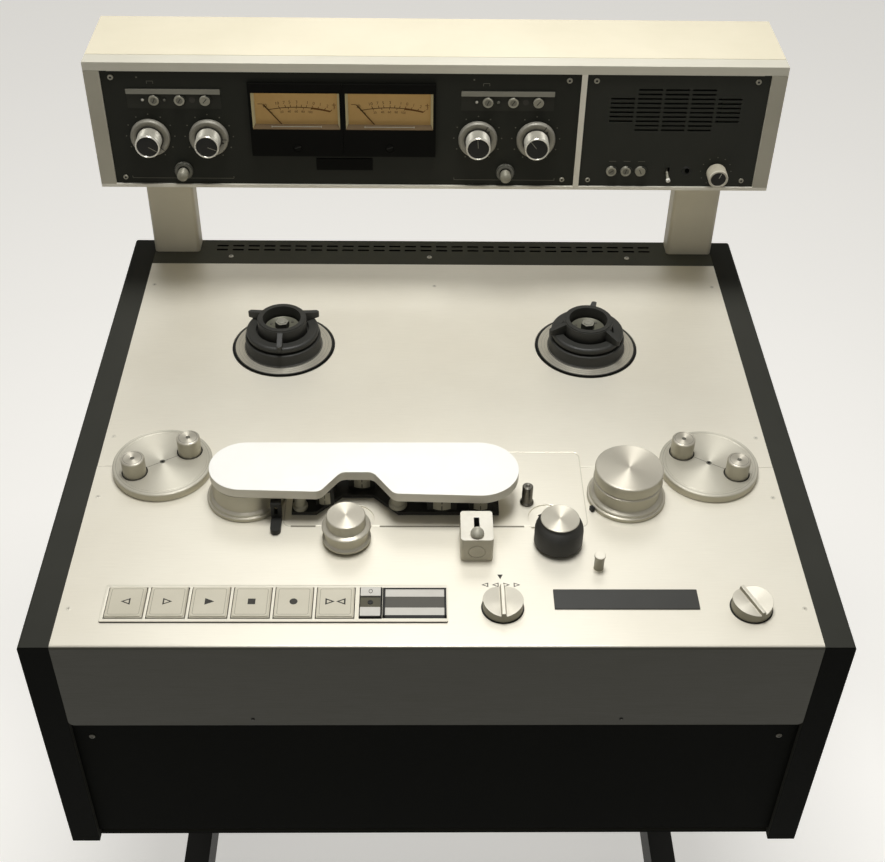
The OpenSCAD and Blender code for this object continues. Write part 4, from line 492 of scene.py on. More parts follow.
# the solids keep their shape: a finish, eased edges and how wide they are (mm)
solidCoats = {
    "deckAndApron": (0.5, ["deck_plate_front"]),
    "brushedDeck": (0.25, ["deck_plate_rear", "head_plate"]),
    "keyRim": (0.2, ["key_frame"]),
    "boardAndEdge": (0.8, ["side_panels"]),
    "caseAndVent": (0.5, ["case_covers"]),
    "castGrey": (0.4, ["chassis", "pinch_arm", "guide_arm"]),
    "motorGrey": (0.5, ["drive_motors"]),
    "standBlack": (1.5, ["stand_frame"]),
    "postBeige": (1.0, ["bridge_posts"]),
    "frameAndCover": (0.6, ["bridge_shell"]),
    "panelDeep": (0.25, ["meter_panel"]),
    "panelBlack": (0.25, ["speaker_panel"]),
    "meterBlack": (0.3, ["vu_meters", "monitor_speaker"]),
    "scaleInk": (0.1, pair("vu_needle")),
    "coverAndSide": (2.4, ["head_cover"]),
    "pitchBlack": (0.4, ["tape_heads", "lifter_lever", "counter_rocker"]),
    "cutterAndSlot": (1.0, ["tape_cutter"]),
    "hubAndFlange": (0.4, pair("reel_turntable")),
    "hubBlack": (0.6, pair("hub_lock")),
    "discAndWells": (0.35, pair("tension_disc")),
    "turnedAndDrum": (0.35, ["tension_roller_left_outer", "tension_roller_left_inner", "tension_roller_right_inner",
        "tension_roller_right_outer", "idler_roller", "timer_roller", "guide_roller"]),
    "dullMetal": (0.3, ["cutter_knob"]),
    "rubberAndCap": (0.3, ["pinch_roller"]),
    "groundSteel": (0.2, ["capstan"]),
    "knobAndSkirt": (0.4, ["shuttle_knob", "selector_knob"]),
    "keyBeige": (0.5, ["key_" + key for key in transport]),
    "ringGrey": (0.4, ["level_ring_%d" % k for k in (1, 2, 3, 4)]),
    "buttonGrey": (0.3, pair("test_button")),
}
sharpFrom, easeFrom = 35, 40  # degrees between two faces


def easeEdges(piece, width, segments=2):
    edge = piece.modifiers.new("easedEdges", "BEVEL")
    edge.width, edge.segments = width * mm, segments
    edge.limit_method, edge.angle_limit = "ANGLE", radians(easeFrom)
    edge.use_clamp_overlap, edge.harden_normals = True, False


def coatSolid(node, finish, ease):
    solid = nodes[node]
    solid.data.materials.clear()
    solid.data.materials.append(finishOf[finish])
    weld = solid.modifiers.new("joinCorners", "WELD")
    weld.merge_threshold = 0.000002
    flat = solid.modifiers.new("openFlats", "DECIMATE")
    flat.decimate_type, flat.angle_limit = "DISSOLVE", radians(1.0)
    easeEdges(solid, ease, 3 if ease > 2 else 2)


for finish, (ease, members) in solidCoats.items():
    for node in members:
        coatSolid(node, finish, ease)
print("solids coated")


def finished(name, finishes, body="machine", ease=0.0):
    bmesh.ops.recalc_face_normals(bm, faces=bm.faces)
    mesh = bpy.data.meshes.new(name)
    bm.to_mesh(mesh)
    bm.clear()
    for finish in finishes:
        mesh.materials.append(finishOf[finish])
    mesh.shade_smooth()
    mesh.set_sharp_from_angle(angle=radians(sharpFrom))
    piece = bpy.data.objects.new(name, mesh)
    bpy.context.scene.collection.objects.link(piece)
    if ease:
        easeEdges(piece, ease)
    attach(piece, body)
    return piece


# the cross is a dark mark standing on the head: painted shade for the recessed slot
def crossScrews(name, spots, r, finish="boltPale", rise=0.9, cross="boltDark"):
    for k, spot in enumerate(spots):
        turned(spot, [(0, -0.3), (r, -0.3), (r, 0.25 * rise), (0.8 * r, 0.75 * rise), (0.4 * r, rise), (0, rise)], 20)
        twist = spot @ Matrix.Rotation(0.4 + 0.7 * k, 4, "Z")
        lifted(twist, bar(1.0 * r, 0.22 * r), rise - 0.1, rise + 0.03, 1)
        lifted(twist, bar(0.22 * r, 1.0 * r), rise - 0.1, rise + 0.04, 1)
    finished(name, [finish, cross])


def socketScrews(name, spots, r, rise=1.2):  # round heads with a hexagon sunk in them, its floor painted black for the socket's shade
    for k, spot in enumerate(spots):
        well = 0.46 * r
        turned(spot, [(0, -0.3), (r, -0.3), (r, 0.6 * rise), (0.85 * r, rise), (well, rise), (well, rise - 0.25),
            (0, rise - 0.25)], 24)
        lifted(spot, hexagon(well, 25 * k), rise - 0.3, rise - 0.1, 1)
    finished(name, ["presetGrey", "pitchBlack"])


# fixings
fixings = {
    "deckEdge": [(-302, 41.5), (302, 41.5), (-302, 174), (302, 174), (-302, 256), (302, 256), (-301.5, 505.5),
        (301.5, 505.5), (0, 505)],
    "ventStrip": [(-225, 561), (-5, 561), (215, 561)],
    "apron": [(-155, -92), (155, -92)],
    "frontCover": [(-295, -122), (295, -122)],
    "panelTop": [(-310.5, 247), (127, 247), (153, 247), (308.5, 247)],
    "panelLow": [(-310.5, 139.5), (127, 139.5), (153, 139.5), (308.5, 139.5)],
    "back": [(-298, -20), (298, -20), (-298, -137), (298, -137), (-298, -255), (298, -255)],
}
crossScrews("deck_screws", [onDeck(x, y) for x, y in fixings["deckEdge"]], 2.3, "boltDeck", 0.15, "slotGrey")
crossScrews("vent_screws", [onDeck(x, y) for x, y in fixings["ventStrip"]], 2.7, "boltPale", 1.1)
crossScrews("apron_screws", [facing(x, 0, z) for x, z in fixings["apron"]], 1.7, "pitchBlack", 0.8, "boltDark")
crossScrews("front_screws", [facing(x, 5, z) for x, z in fixings["frontCover"]], 2.6, "boltDark", 1.0, "pitchBlack")
crossScrews("back_screws", [onBack(x, z) for x, z in fixings["back"]], 2.8, "boltDark", 0.5, "pitchBlack")
socketScrews("panel_screws_top", [onPanel(x, z) for x, z in fixings["panelTop"]], 2.8)
socketScrews("panel_screws_low", [onPanel(x, z) for x, z in fixings["panelLow"]], 2.5)
print("fixings set")

# reel hubs: rings on the flange, the plate and nut in the middle, and a black ring in the gap round the flange,
# painted shade
reelHub = Layout(x=154, y=398, flangeTop=1.0, flangeR=50.0, plateTop=22.0, plateLift=1.6, plateR=17.6, nutR=7.0,
    nutTop=30.0, stubR=4.3)
layFinish("hubPlate", coat((124, 123, 108), (108, 107, 93), cloud=60, rough=0.45, swing=0.08, metal=0.5, round="Z"))
for side, sign in (("left", -1), ("right", 1)):
    spot = onDeck(sign * reelHub.x, reelHub.y)
    top, edge = reelHub.flangeTop, reelHub.flangeR
    for r in (40.6, 43.6, 46.4):
        turned(spot, [(r, top - 0.1), (r, top + 0.1), (r + 0.25, top + 0.16), (r + 0.5, top + 0.1),
            (r + 0.5, top - 0.1)], 96)
    for r, wide, finish in ((39.0, 0.5, 2), (42.2, 0.3, 1), (45.1, 0.3, 1)):  # scribed rings
        band(spot, r, wide, top - 0.1, top + 0.05, 96, finish)
    # the black edge
    turned(spot, [(48.6, top - 0.1), (48.6, top + 0.06), (edge + 0.1, top + 0.06), (edge + 0.1, -1.0),
        (edge - 0.5, -1.0)], 96, 2)
    finished("flange_rings_" + side, ["turnedMetal", "slotGrey", "pitchBlack"], "reel_turntable_" + side)
    plate, nut, r = reelHub.plateTop, reelHub.nutTop, reelHub.nutR
    face = plate + reelHub.plateLift
    turned(spot, [(r - 0.6, plate - 0.1), (r - 0.6, face), (reelHub.plateR, face),
        (reelHub.plateR + 0.1, plate - 0.1)], 64)
    # the nut's body is pitch black under a grey top: painted shade on its sides
    lifted(spot, hexagon(r + 0.1, 10), plate, nut + 0.05, 3)
    lifted(spot, hexagon(0.95 * (r + 0.1), 10), nut, nut + 0.14, 1)
    stub = reelHub.stubR
    turned(spot, [(stub, nut), (stub, nut + 0.75), (stub - 0.5, nut + 0.95), (1.4, nut + 0.95), (1.0, nut + 0.85),
        (0, nut + 0.85)], 32, 1)
    for i in range(3):
        a = radians(120 * i + 40)
        turned(moved(spot, 12.2 * cos(a), 12.2 * sin(a), face), [(0, 0), (1.5, 0), (1.5, 0.7), (0, 0.9)], 14, 2)
    finished("hub_plate_" + side, ["hubPlate", "stripGrey", "boltDark", "pitchBlack"], "reel_turntable_" + side,
        ease=0.15)
    # a black ring below the flange's edge: painted shade in the gap round it
    band(spot, edge + 0.5, 1.4, -2.6, -1.4)
    finished("flange_gap_shade_" + side, ["pitchBlack"])
print("hubs dressed")

# tension sensors: the line scribed between the rollers, the centre hole, and dark discs on the rollers' tops, painted
# shade for their bores
tension = Layout(x=249.3, y=212, top=8.0, angle=32, edgeR=41.8)
for side, sign in (("left", -1), ("right", 1)):
    spot = onDeck(sign * tension.x, tension.y, tension.top, -sign * tension.angle)
    for end in (-1, 1):
        printed(spot, stroke(end * 2.9, 0, end * 15.2, 0, 0.45))
    turned(spot, [(1.3, -0.2), (1.3, 0.06), (2.5, 0.06), (2.6, -0.2)], 24)
    band(spot, tension.edgeR, 0.4, -0.1, 0.04, 96, 1)
    finished("tension_scribe_" + side, ["boltDark", "slotGrey"], "tension_disc_" + side)
    for end in (-1, 1):
        where = {(-1, -1): "left_outer", (-1, 1): "left_inner", (1, -1): "right_inner",
            (1, 1): "right_outer"}[(sign, end)]
        low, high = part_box("tension_roller_" + where)
        top = Matrix.Translation(((low.x + high.x) / 2, (low.y + high.y) / 2, high.z))
        turned(top, [(0, -0.05), (1.9, -0.05), (1.9, 0.05), (0, 0.05)], 20)
        band(top, 8.2, 0.3, -0.05, 0.04, 48)
        finished("roller_bore_shade_" + where, ["boltDark"], "tension_roller_" + where)
print("tension sensors dressed")

# transport keys: signs on the caps
keyRow = Layout(first=-256.0, pitch=34.3, y=46.0, w=30.7, d=33.0, top=3.6, inset=2.4)
left = [(3.9, 3.6), (-3.9, 0), (3.9, -3.6)]
right = [(-3.9, 3.6), (-3.9, -3.6), (3.9, 0)]


def hollow(points, share):
    cx, cy = sum(p[0] for p in points) / 3, sum(p[1] for p in points) / 3
    return [(cx + (x - cx) * share, cy + (y - cy) * share) for x, y in points]


def outlined(spot, points, share, low, high, finish=0):
    framed(spot, points, hollow(points, share), low, high, finish)


layFinish("keyLine", coat((150, 144, 126), (136, 130, 113), rough=0.45, swing=0.05, bump=0.04))
for i, key in enumerate(transport):
    spot = onDeck(keyRow.first + i * keyRow.pitch, keyRow.y, keyRow.top)
    low, high = -0.02, 0.06
    w, d, inset = keyRow.w, keyRow.d, keyRow.inset
    outer, inner = softBar(w - 2 * inset, d - 2 * inset, 1.6), softBar(w - 2 * inset - 0.9, d - 2 * inset - 0.9, 1.2)
    framed(spot, outer, inner, low, 0.03, 1)  # the line pressed round the cap
    if key == "rewind":
        outlined(spot, left, 0.55, low, high)
    elif key == "forward":
        outlined(spot, right, 0.55, low, high)
    elif key == "play":
        lifted(spot, right, low, high)
    elif key == "stop":
        lifted(spot, bar(6.2, 6.2), low, high)
    elif key == "record":
        lifted(spot, disc(3.3, steps=32), low, high)
    else:
        outlined(spot, [(x + 4.4, y) for x, y in left], 0.5, low, high)
        outlined(spot, [(x - 4.4, y) for x, y in right], 0.5, low, high)
    finished("sign_" + key, ["inkBlack", "keyLine"], "key_" + key)

# counter: rocker labels, window bands and its dark frame
counter = Layout(rockerX=-55.9, windowX=-19.6, y=46.0, w=50.0, d=33.0, rockerTop=3.6, floor=-3.0, face=0.9, rim=1.8)
layFinish("counterPale", coat((198, 195, 185), (184, 180, 170), rough=0.4, swing=0.05, bump=0.04))
layFinish("rockerOlive", coat((78, 74, 56), (68, 65, 49), rough=0.45, swing=0.05, bump=0.04, gloss=0.3))
layFinish("counterGrey", coat((82, 80, 72), (75, 73, 66), rough=0.35, swing=0.05, bump=0.04, gloss=0.3))
spot = onDeck(counter.rockerX, counter.y)
top = counter.rockerTop
for end in (-1, 1):
    lifted(spot, softBar(16.6, 9.4, 0.6, 0, end * 10.9), top - 0.9, top + 0.25)
ring = [(1.2 * cos(0.3 * k), 1.7 * sin(0.3 * k)) for k in range(21)]
small, large = ([(s * x, s * y + 11.2) for x, y in ring] for s in (1.0, 1.4))
framed(spot, small, large, top + 0.2, top + 0.32, 1)
turned(moved(spot, 0, 0, top - 1.2), [(0, -0.1), (2.4, -0.1), (2.2, 0.6), (0, 0.8)], 24, 2)
lifted(spot, bar(16.6, 11.2), top - 1.4, top - 1.1, 3)
finished("rocker_labels", ["counterPale", "inkBlack", "pitchBlack", "rockerOlive"], "counter_rocker", ease=0.15)
spot = onDeck(counter.windowX, counter.y)
w, d, floorZ = counter.w, counter.d, counter.floor
face, rim = counter.face, counter.rim
lifted(spot, bar(w - 0.2, d - 0.2), floorZ + 0.02, face)
for high, mid, finish in ((8.4, 11.7, 1), (11.8, 1.5, 2), (9.0, -9.0, 1)):  # pale band, dark band, pale band
    lifted(spot, bar(w - 0.6, high, 0, mid), face - 0.1, face + (0.3 if finish == 1 else 0.15), finish)
for wide, deep, x, y in ((w + 2.6, 1.0, 0, d / 2 - 0.3), (w + 2.6, 3.4, 0, -d / 2 + 1.5),
        (2.2, d + 0.2, -w / 2 - 0.2, 0), (1.8, d + 0.2, w / 2 + 0.3, 0)):
    lifted(spot, bar(wide, deep, x, y), rim - 0.05, rim + 0.2)
finished("counter_face", ["pitchBlack", "counterPale", "counterGrey"])
print("keys and counter dressed")

# deck print: winding signs round the shuttle knob, and the bare name plate
deckPrint = Layout(row=67.9, plate=(95.5, 40.4, 215.5, 62.0))
for x, points, share in ((39.0, left, 0.55), (47.7, left, 0.55), (57.3, right, 0.55), (66.0, right, 0.55)):
    outlined(onDeck(x, deckPrint.row), [(px * 0.73, py * 0.69) for px, py in points], share, -0.02, 0.05)
printed(onDeck(52.2, 77.0), [(-2.3, 2.6), (0, -2.8), (2.3, 2.6)])
finished("deck_signs", ["inkBlack"])
x0, y0, x1, y1 = deckPrint.plate
lifted(onDeck((x0 + x1) / 2, (y0 + y1) / 2), softBar(x1 - x0, y1 - y0, 0.6), -0.02, 1.2)
layFinish("plateDark", coat((50, 50, 46), (44, 44, 40), cloud=30, rough=0.38, grain=1800, stretch=(0.05, 1, 1),
    bump=0.08, metal=0.2))
finished("deck_plate_bare", ["plateDark"], ease=0.3)

# knobs: a black ring round the foot of each skirt, painted shade for the gap under it
knobShadeRing = Layout(wide=1.1, rise=0.3)
for knob in ("shuttle", "selector"):
    low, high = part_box(knob + "_knob")
    r, wide, rise = (high.x - low.x) / 2 / mm, knobShadeRing.wide, knobShadeRing.rise
    spot = onDeck(*middle(knob + "_knob")[:2])
    turned(spot, [(r - 1.2, -0.02), (r - 1.2, rise), (r + wide - 0.2, rise), (r + wide, -0.02)], 72)
    finished(knob + "_gap", ["pitchBlack"])

# head plate: a pale fill in the joint round it, painted light that hides the joint's shade, and a dark line along its
# front, painted shadow of that joint
headJoint = Layout(left=-134.0, right=131.5, front=137.3, back=234.0, corner=6.0, gap=0.9, sink=0.3, lineW=1.9,
    clear=7.0)
layFinish("jointPaintedLight", coat((202, 197, 181), (190, 185, 169), cloud=30, rough=0.55, metal=0.2))
layFinish("jointPaintedShade", coat((120, 115, 98), (108, 103, 87), cloud=30, rough=0.6))
wide, deep = headJoint.right - headJoint.left, headJoint.back - headJoint.front
gap, corner = headJoint.gap, headJoint.corner
spot = onDeck((headJoint.left + headJoint.right) / 2, (headJoint.front + headJoint.back) / 2)
inner = softBar(wide + 0.04, deep + 0.04, corner)
outer = softBar(wide + 2 * gap - 0.04, deep + 2 * gap - 0.04, corner)
framed(spot, inner, outer, -1.6, -headJoint.sink)
stops = [headJoint.left + corner]  # the front line stops short of both swing slots
for roller in ("guide_roller", "pinch_roller"):
    low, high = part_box(roller)
    stops += [low.x / mm - headJoint.clear, high.x / mm + headJoint.clear]
for start, end in zip(stops[0:4:2], stops[1:4:2]):
    lifted(onDeck((start + end) / 2, headJoint.front - gap / 2), bar(end - start, headJoint.lineW), -0.4, 0.03, 1)
finished("head_joint", ["jointPaintedLight", "jointPaintedShade"])

# heads: polished faces and tape guides
heads = Layout(stacks=((-99, 159, 16), (-67, 181, 24), (4, 153, 26), (38, 153, 20)), low=6.0, high=19.5,
    guides=((-120.5, 157, 13), (-34.7, 160, 16)))
for x, y, w in heads.stacks:
    r = w * 0.62
    mid = y + w * 0.55
    half = asin(min(0.999, 0.36 * w / r)) * 0.82
    arc = [(x + (r + 0.12) * sin(a), mid - (r + 0.12) * cos(a)) for a in [half * (k / 6 - 1) for k in range(13)]]
    back = [(x + (r - 0.5) * sin(a), mid - (r - 0.5) * cos(a)) for a in [half * (1 - k / 6) for k in range(13)]]
    lifted(onDeck(0, 0), arc + back, heads.low, heads.high)
    for z in (8.6, 15.4):
        gap = [(x + (r + 0.2) * sin(a), mid - (r + 0.2) * cos(a)) for a in (-0.03, 0.03)]
        lifted(onDeck(0, 0), gap + [(x + 0.3, mid - r + 0.6), (x - 0.3, mid - r + 0.6)], z - 2.2, z + 2.2, 1)
for x, y, d in heads.guides:
    r = d / 2
    turned(onDeck(x, y), [(r - 1.4, 7.4), (r - 1.4, 8.1), (r + 0.1, 7.0), (r + 0.1, 4.1), (r - 1.0, 4.05)], 40)
    turned(onDeck(x, y), [(r - 1.5, 8.0), (r - 1.38, 8.1), (r - 1.38, 20.4), (r - 1.5, 20.5)], 40)
finished("head_faces", ["presetGrey", "inkBlack"])

# tape timer: the black catch beside its rim
catch = Layout(x=169.5, y=176, turn=210, reach=37.2, top=4.4)
spot = onDeck(catch.x, catch.y, 0.0, catch.turn)
lifted(spot, softBar(3.2, 4.6, 0.6, catch.reach, 0), 0.02, catch.top)
turned(moved(spot, catch.reach, 0, catch.top), [(0, 0), (1.2, 0), (1.2, 0.5), (0, 0.7)], 16)
finished("timer_catch", ["pitchBlack"], ease=0.2)
print("deck dressed")

layFinish("dotGrey", coat((104, 102, 90), (88, 86, 76), inkKind, cloud=80))


def dialDots(name, x, z, reach, r):
    for k in range(11):
        a = radians(240 - 30 * k)
        printed(onPanel(x + reach * cos(a), z + reach * sin(a)), disc(r, steps=12), 0, 0.06)
    finished(name, ["dotGrey"])


def presetScrew(x, z, foot, turn, slotW, rim, core, ink):  # a rim, a sunk face and its slot, drawn as a dark bar: painted shade for the slot
    spot = onPanel(x, z)
    turned(spot, [(3.3, 2.4), (3.3, 2.75), (4.5, 2.85), (5.1, 2.45), (5.2, foot)], 32, rim)
    turned(spot, [(3.4, 2.52), (1.5, 2.62), (0, 2.62)], 24, core)
    lifted(onPanel(x, z, 0, turn), bar(slotW, 0.8), 2.5, 2.68, ink)


# level knobs: knurled bodies with a bright rim and a black cap, which stand for the plain ones
levels = Layout(r=12.0, knurls=60, capR=10.4, dotsAt=23.6, pointers=(-122.0, -112.0, 5.0, 38.0),
    marks=(-135.0, -92.0, -32.0, -32.0))
for i in range(4):
    node = "level_knob_%d" % (i + 1)
    ring = "level_ring_%d" % (i + 1)
    x, z = onFace(node)
    out, ringOut = standsOut(node), standsOut(ring)
    face = onPanel(x, z, out)
    r, cap = levels.r, levels.capR
    turned(face, [(0, -17.6), (r - 0.9, -17.6), (r - 0.5, -17.2), (r - 0.5, -16.6)], 60)
    turned(face, [(r - 1.2, -16.7), (r - 0.05, -16.5), (r - 0.05, -1.7), (r - 1.2, -1.5)], 2 * levels.knurls, 0, 0.45)
    turned(face, [(r - 1.0, -1.8), (r - 0.2, -1.5), (r - 0.05, -0.7), (r - 0.6, 0.0), (cap + 0.25, 0.0), (cap, -0.5),
        (cap - 0.1, -0.9)], 60, 1)
    turned(face, [(cap, -0.8), (cap - 0.5, -0.65), (6.0, -0.55), (0, -0.5)], 60, 2)
    mark = onPanel(x, z, out, levels.pointers[i])
    lifted(mark, bar(0.5, cap - 1.2, 0, (cap + 0.6) / 2), -0.75, -0.42, 3)
    knob = finished("level_cap_%d" % (i + 1), ["knurlGrey", "rimMetal", "pitchBlack", "lineGrey"], node)
    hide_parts(node)
    # the ring's line and arrow, a black ring round the knob that is painted shadow, and the dots round the dial
    spot = onPanel(x, z, ringOut, levels.marks[i])
    lifted(spot, bar(0.8, 5.0, 0, 15.6), -0.05, 0.08)
    lifted(spot, [(2.2, 13.0), (5.2, 12.6), (3.9, 15.4)], -0.05, 0.08)
    turned(onPanel(x, z, ringOut), [(r + 0.2, -0.2), (r + 0.2, 0.03), (r + 1.3, 0.05), (r + 1.4, -0.2)], 60)
    finished("ring_mark_and_shade_%d" % (i + 1), ["inkBlack"], ring)
    dialDots("dial_dots_%d" % (i + 1), x, z, levels.dotsAt, 0.7)
print("level dials dressed")

# channel strips: preset rims, lamps, test collars and printed lines
channel = Layout(mids=(-253.0, 68.7), presets=(-19.1, 5.4, 29.9), presetZ=224.0, collarR=8.9, collarH=4.0)
for side, mid in zip(("left", "right"), channel.mids):
    lifted(onPanel(mid, 233.0), softBar(90, 5.2, 0.6), 1.15, 1.5)
    lifted(onPanel(mid, 222.4), softBar(90, 15.0, 0.8), -0.02, 0.35, 1)
    for k, x in enumerate(channel.presets):
        presetScrew(mid + x, channel.presetZ, 0.3, 20 + 7 * x, 5.4, 2, 2 if k == 2 else 6, 3)
    for x in (-30.0, -9.0):
        spot = onPanel(mid + x, channel.presetZ)
        turned(spot, [(2.3, 0.2), (2.3, 0.9), (1.7, 1.1), (1.5, 0.7)], 24, 1)
        turned(spot, [(1.6, 0.6), (1.2, 1.4), (0.6, 1.7), (0, 1.8)], 20, 4 if x < -20 else 7)
    turned(onPanel(mid + 17.5, channel.presetZ), [(0, 0.3), (3.0, 0.3), (3.0, 0.45), (0, 0.45)], 24, 3)
    printed(onPanel(mid - 26, 215.2), bar(30, 0.45), 5)
    printed(onPanel(mid + 18, 215.2), bar(36, 0.45), 5)
    low = onPanel(mid, 138.5)
    printed(low, bar(101, 0.5), 5)
    for end in (-1, 1):
        printed(low, bar(0.5, 2.4, end * 50.5, 1.2), 5)
    printed(onPanel(mid - 33, 247.0), bar(1.6, 1.6), 5)
    printed(onPanel(mid - 21, 243.2), bar(6.0, 0.5), 5)
    for x in (-24, -18):
        printed(onPanel(mid + x, 241.8), bar(0.5, 2.6), 5)
    spot = onPanel(*onFace("test_button_" + side))
    r, h = channel.collarR, channel.collarH
    turned(spot, [(r - 0.3, 0.02), (r + 0.35, 0.3), (r + 0.35, h - 0.6), (r - 0.3, h + 0.05)], 72, 7, 0.4)
    turned(spot, [(r - 0.2, h - 0.05), (r - 0.5, h + 0.1), (5.9, h + 0.1), (5.75, h - 0.3)], 48, 7)
    finished("channel_strip_" + side, ["stripGrey", "patchBlack", "presetGrey", "inkBlack", "lampPale", "dotGrey",
        "presetCore", "collarGrey"])

# meters: amber faces and pale window edges that glow, painted light standing in for the meter's inner lamp and
# filling the window's shade; flat scales with plain numbers, the sill and the adjuster screws
meters = Layout(low=195.0, w=84.8, h=38.4, pitch=90.5, pivot=180.0, back=3.1, front=4.0, edge=2.2, scaleTop=35.2,
    scaleR=130.0, sill=4.2, marks=((-39.5, "20"), (-25.0, "10"), (-16.0, "7"), (-8.5, "5"), (1.0, "3"), (8.0, ""),
    (15.5, "1"), (23.5, "0"), (31.5, "1"), (39.5, "2"), (46.5, "3")),
    shares=((-39.5, "0"), (-25.0, "20"), (-12.5, "40"), (0.0, "60"), (12.0, "80"), (23.5, "100")))
meterMid = middle("vu_meters")[0]


def scalePoint(a, rise=0.0):  # on the needle's line at a degrees, rise mm beyond the scale's flat arc
    s, c = sin(radians(a)), cos(radians(a))
    low = meters.scaleTop - meters.scaleR
    reach = low * c + sqrt((low * c) ** 2 - low * low + meters.scaleR ** 2)
    return (reach + rise) * s, (reach + rise) * c


def scaleBand(pivot, a0, a1, low, high, lift, finish, steps=40):
    turns = [a0 + (a1 - a0) * k / steps for k in range(steps + 1)]
    for a, b in zip(turns, turns[1:]):
        lifted(pivot, [scalePoint(a, low), scalePoint(a, high), scalePoint(b, high), scalePoint(b, low)], -0.02,
            lift, finish)


def scaleNumber(pivot, words, a, rise, size, finish):
    x, y = scalePoint(a, rise)
    numberMark(moved(pivot, x, y, 0.08) @ spun(-0.35 * a), words, size, finish)


def bevelled(spot, outer, inner, low, high, finish):  # a sloped frame from the window's edge to the face
    front, back, hidden = ringAt(spot, outer, high), ringAt(spot, inner, low), ringAt(spot, outer, low)
    for near, far in ((front, back), (back, hidden), (hidden, front)):
        joined(near, far, finish)


for side, sign in (("left", -1), ("right", 1)):
    x = meterMid + sign * meters.pitch / 2
    w, h, back, front, edge = meters.w, meters.h, meters.back, meters.front, meters.edge
    face = onPanel(x, meters.low + 19.25, -back)
    lifted(face, bar(w, h), -0.1, 0.0)
    inner = bar(w - 2 * edge, h - 1.0)
    bevelled(face, bar(w, h), inner, back + 0.05, back + front - 0.3, 3)
    bevelled(face, inner, bar(w - 2 * edge - 0.4, h - 1.4), 0.02, back + 0.06, 3)
    pivot = onPanel(x, meters.pivot, -back + 0.05)
    scaleBand(pivot, -41, 23.5, -0.1, 0.7, 0.05, 1)
    scaleBand(pivot, 23.5, 47, -0.9, 1.1, 0.05, 2, 16)
    printed(pivot, bar(4.6, 0.6, *scalePoint(-42, 9.0)), 1)
    printed(pivot, bar(4.0, 0.6, *scalePoint(44, 9.0)), 2)
    printed(pivot, bar(0.6, 4.0, *scalePoint(44, 9.0)), 2, 0.06)
    for a, words in meters.marks:
        printed(pivot, stroke(*scalePoint(a), *scalePoint(a, 3.0), 0.6), 2 if a > 23 else 1, 0.06)
        if words:
            scaleNumber(pivot, words, a, 5.7, 4.4, 2 if a > 23 else 1)
    for a, words in meters.shares:
        printed(pivot, stroke(*scalePoint(a), *scalePoint(a, -1.8), 0.5), 1, 0.06)
        scaleNumber(pivot, words, a, -4.3, 3.4, 1)
    finished("meter_face_" + side, ["meterAmberGlow", "scaleInk", "scaleBrown", "meterEdgeGlow"])
    sill, rise = onPanel(x, meters.low, 0), meters.sill  # a sloped sill in front of the needle
    profile = ((0.05, 0.2), (rise, 0.2), (rise, 0.5), (0.6, front - 0.2), (0.05, front - 0.2))
    ends = [[bm.verts.new(sill @ Vector((e * w / 2 * mm, y * mm, z * mm))) for y, z in profile] for e in (-1, 1)]
    joined(*ends)
    bm.faces.new(ends[0][::-1])
    bm.faces.new(ends[1])
    slope = atan2(front - 0.7, rise - 0.6)
    line = onPanel(x, meters.low + 0.6 + 0.5 * (rise - 0.6), 0.5 * front + 0.15) @ Matrix.Rotation(-slope, 4, "X")
    lifted(line, bar(48, 0.6), -0.05, 0.06, 1)
    for end in (-24, 24):
        lifted(line, bar(0.9, 1.6, end, 0), -0.05, 0.07, 1)
    finished("meter_sill_" + side, ["meterSill", "lineGrey"])
    spot = onPanel(x, meters.low - 19.5, 2.6)
    turned(spot, [(0, 0.0), (4.3, 0.0), (4.3, 0.9), (3.7, 1.3), (0, 1.35)], 32)
    # the adjuster's slot is a black bar: painted shade for the recess
    lifted(onPanel(x, meters.low - 19.5, 2.6, 18), bar(6.4, 0.9), 1.2, 1.42, 1)
    finished("meter_adjuster_" + side, ["meterBlack", "pitchBlack"])
    turned(onPanel(x, meters.pivot, -1.0), [(0, 0), (2.6, 0), (2.4, 0.6), (0, 0.7)], 24)
    finished("needle_cap_" + side, ["pitchBlack"], "vu_needle_" + side)
lifted(onPanel(-91.0, 155.5), softBar(56, 13, 0.5), -0.02, 1.0)
finished("bridge_plate_bare", ["meterBlack"], ease=0.25)
print("meters dressed")

# speaker panel: preset rims, the socket's dark rim, the toggle's tip, the volume pointer and dots
monitor = Layout(presets=(175.8, 190.4, 205.0), z=150.0, jackX=251.4, jackR=3.25, pointer=-22.0, volumeR=9.8,
    volumeCap=7.5, dotsAt=15.4, tilt=13.0, hinge=8.0, slotW=4.4, slotH=8.0)
for k, x in enumerate(monitor.presets):
    presetScrew(x, monitor.z, 0.05, 35 + 40 * k, 5.2, 0, 0 if k == 2 else 1, 2)
    printed(onPanel(x + 0.5, monitor.z + 10.5), bar(7.0, 0.5), 3)
finished("monitor_presets", ["presetGrey", "presetCore", "inkBlack", "dotGrey"])
(vx, vz), out = onFace("volume_knob"), standsOut("volume_knob") - 0.8
r, cap, face = monitor.volumeR, monitor.volumeCap, onPanel(vx, vz, out)
turned(face, [(0, -15.4), (r - 0.6, -15.4), (r - 0.3, -15.0), (r - 0.3, -14.6)], 60)
turned(face, [(r - 0.9, -14.7), (r, -14.5), (r, -1.7), (r - 0.8, -1.5)], 96, 0, 0.3)  # fluted body
turned(face, [(r - 0.7, -1.7), (r - 0.1, -1.4), (r - 0.1, -0.6), (r - 0.6, 0.0), (cap + 0.2, 0.0), (cap, -0.5),
    (cap - 0.1, -1.1)], 60, 1)
turned(face, [(cap, -1.0), (cap - 0.4, -0.85), (4.0, -0.75), (0, -0.7)], 60, 2)
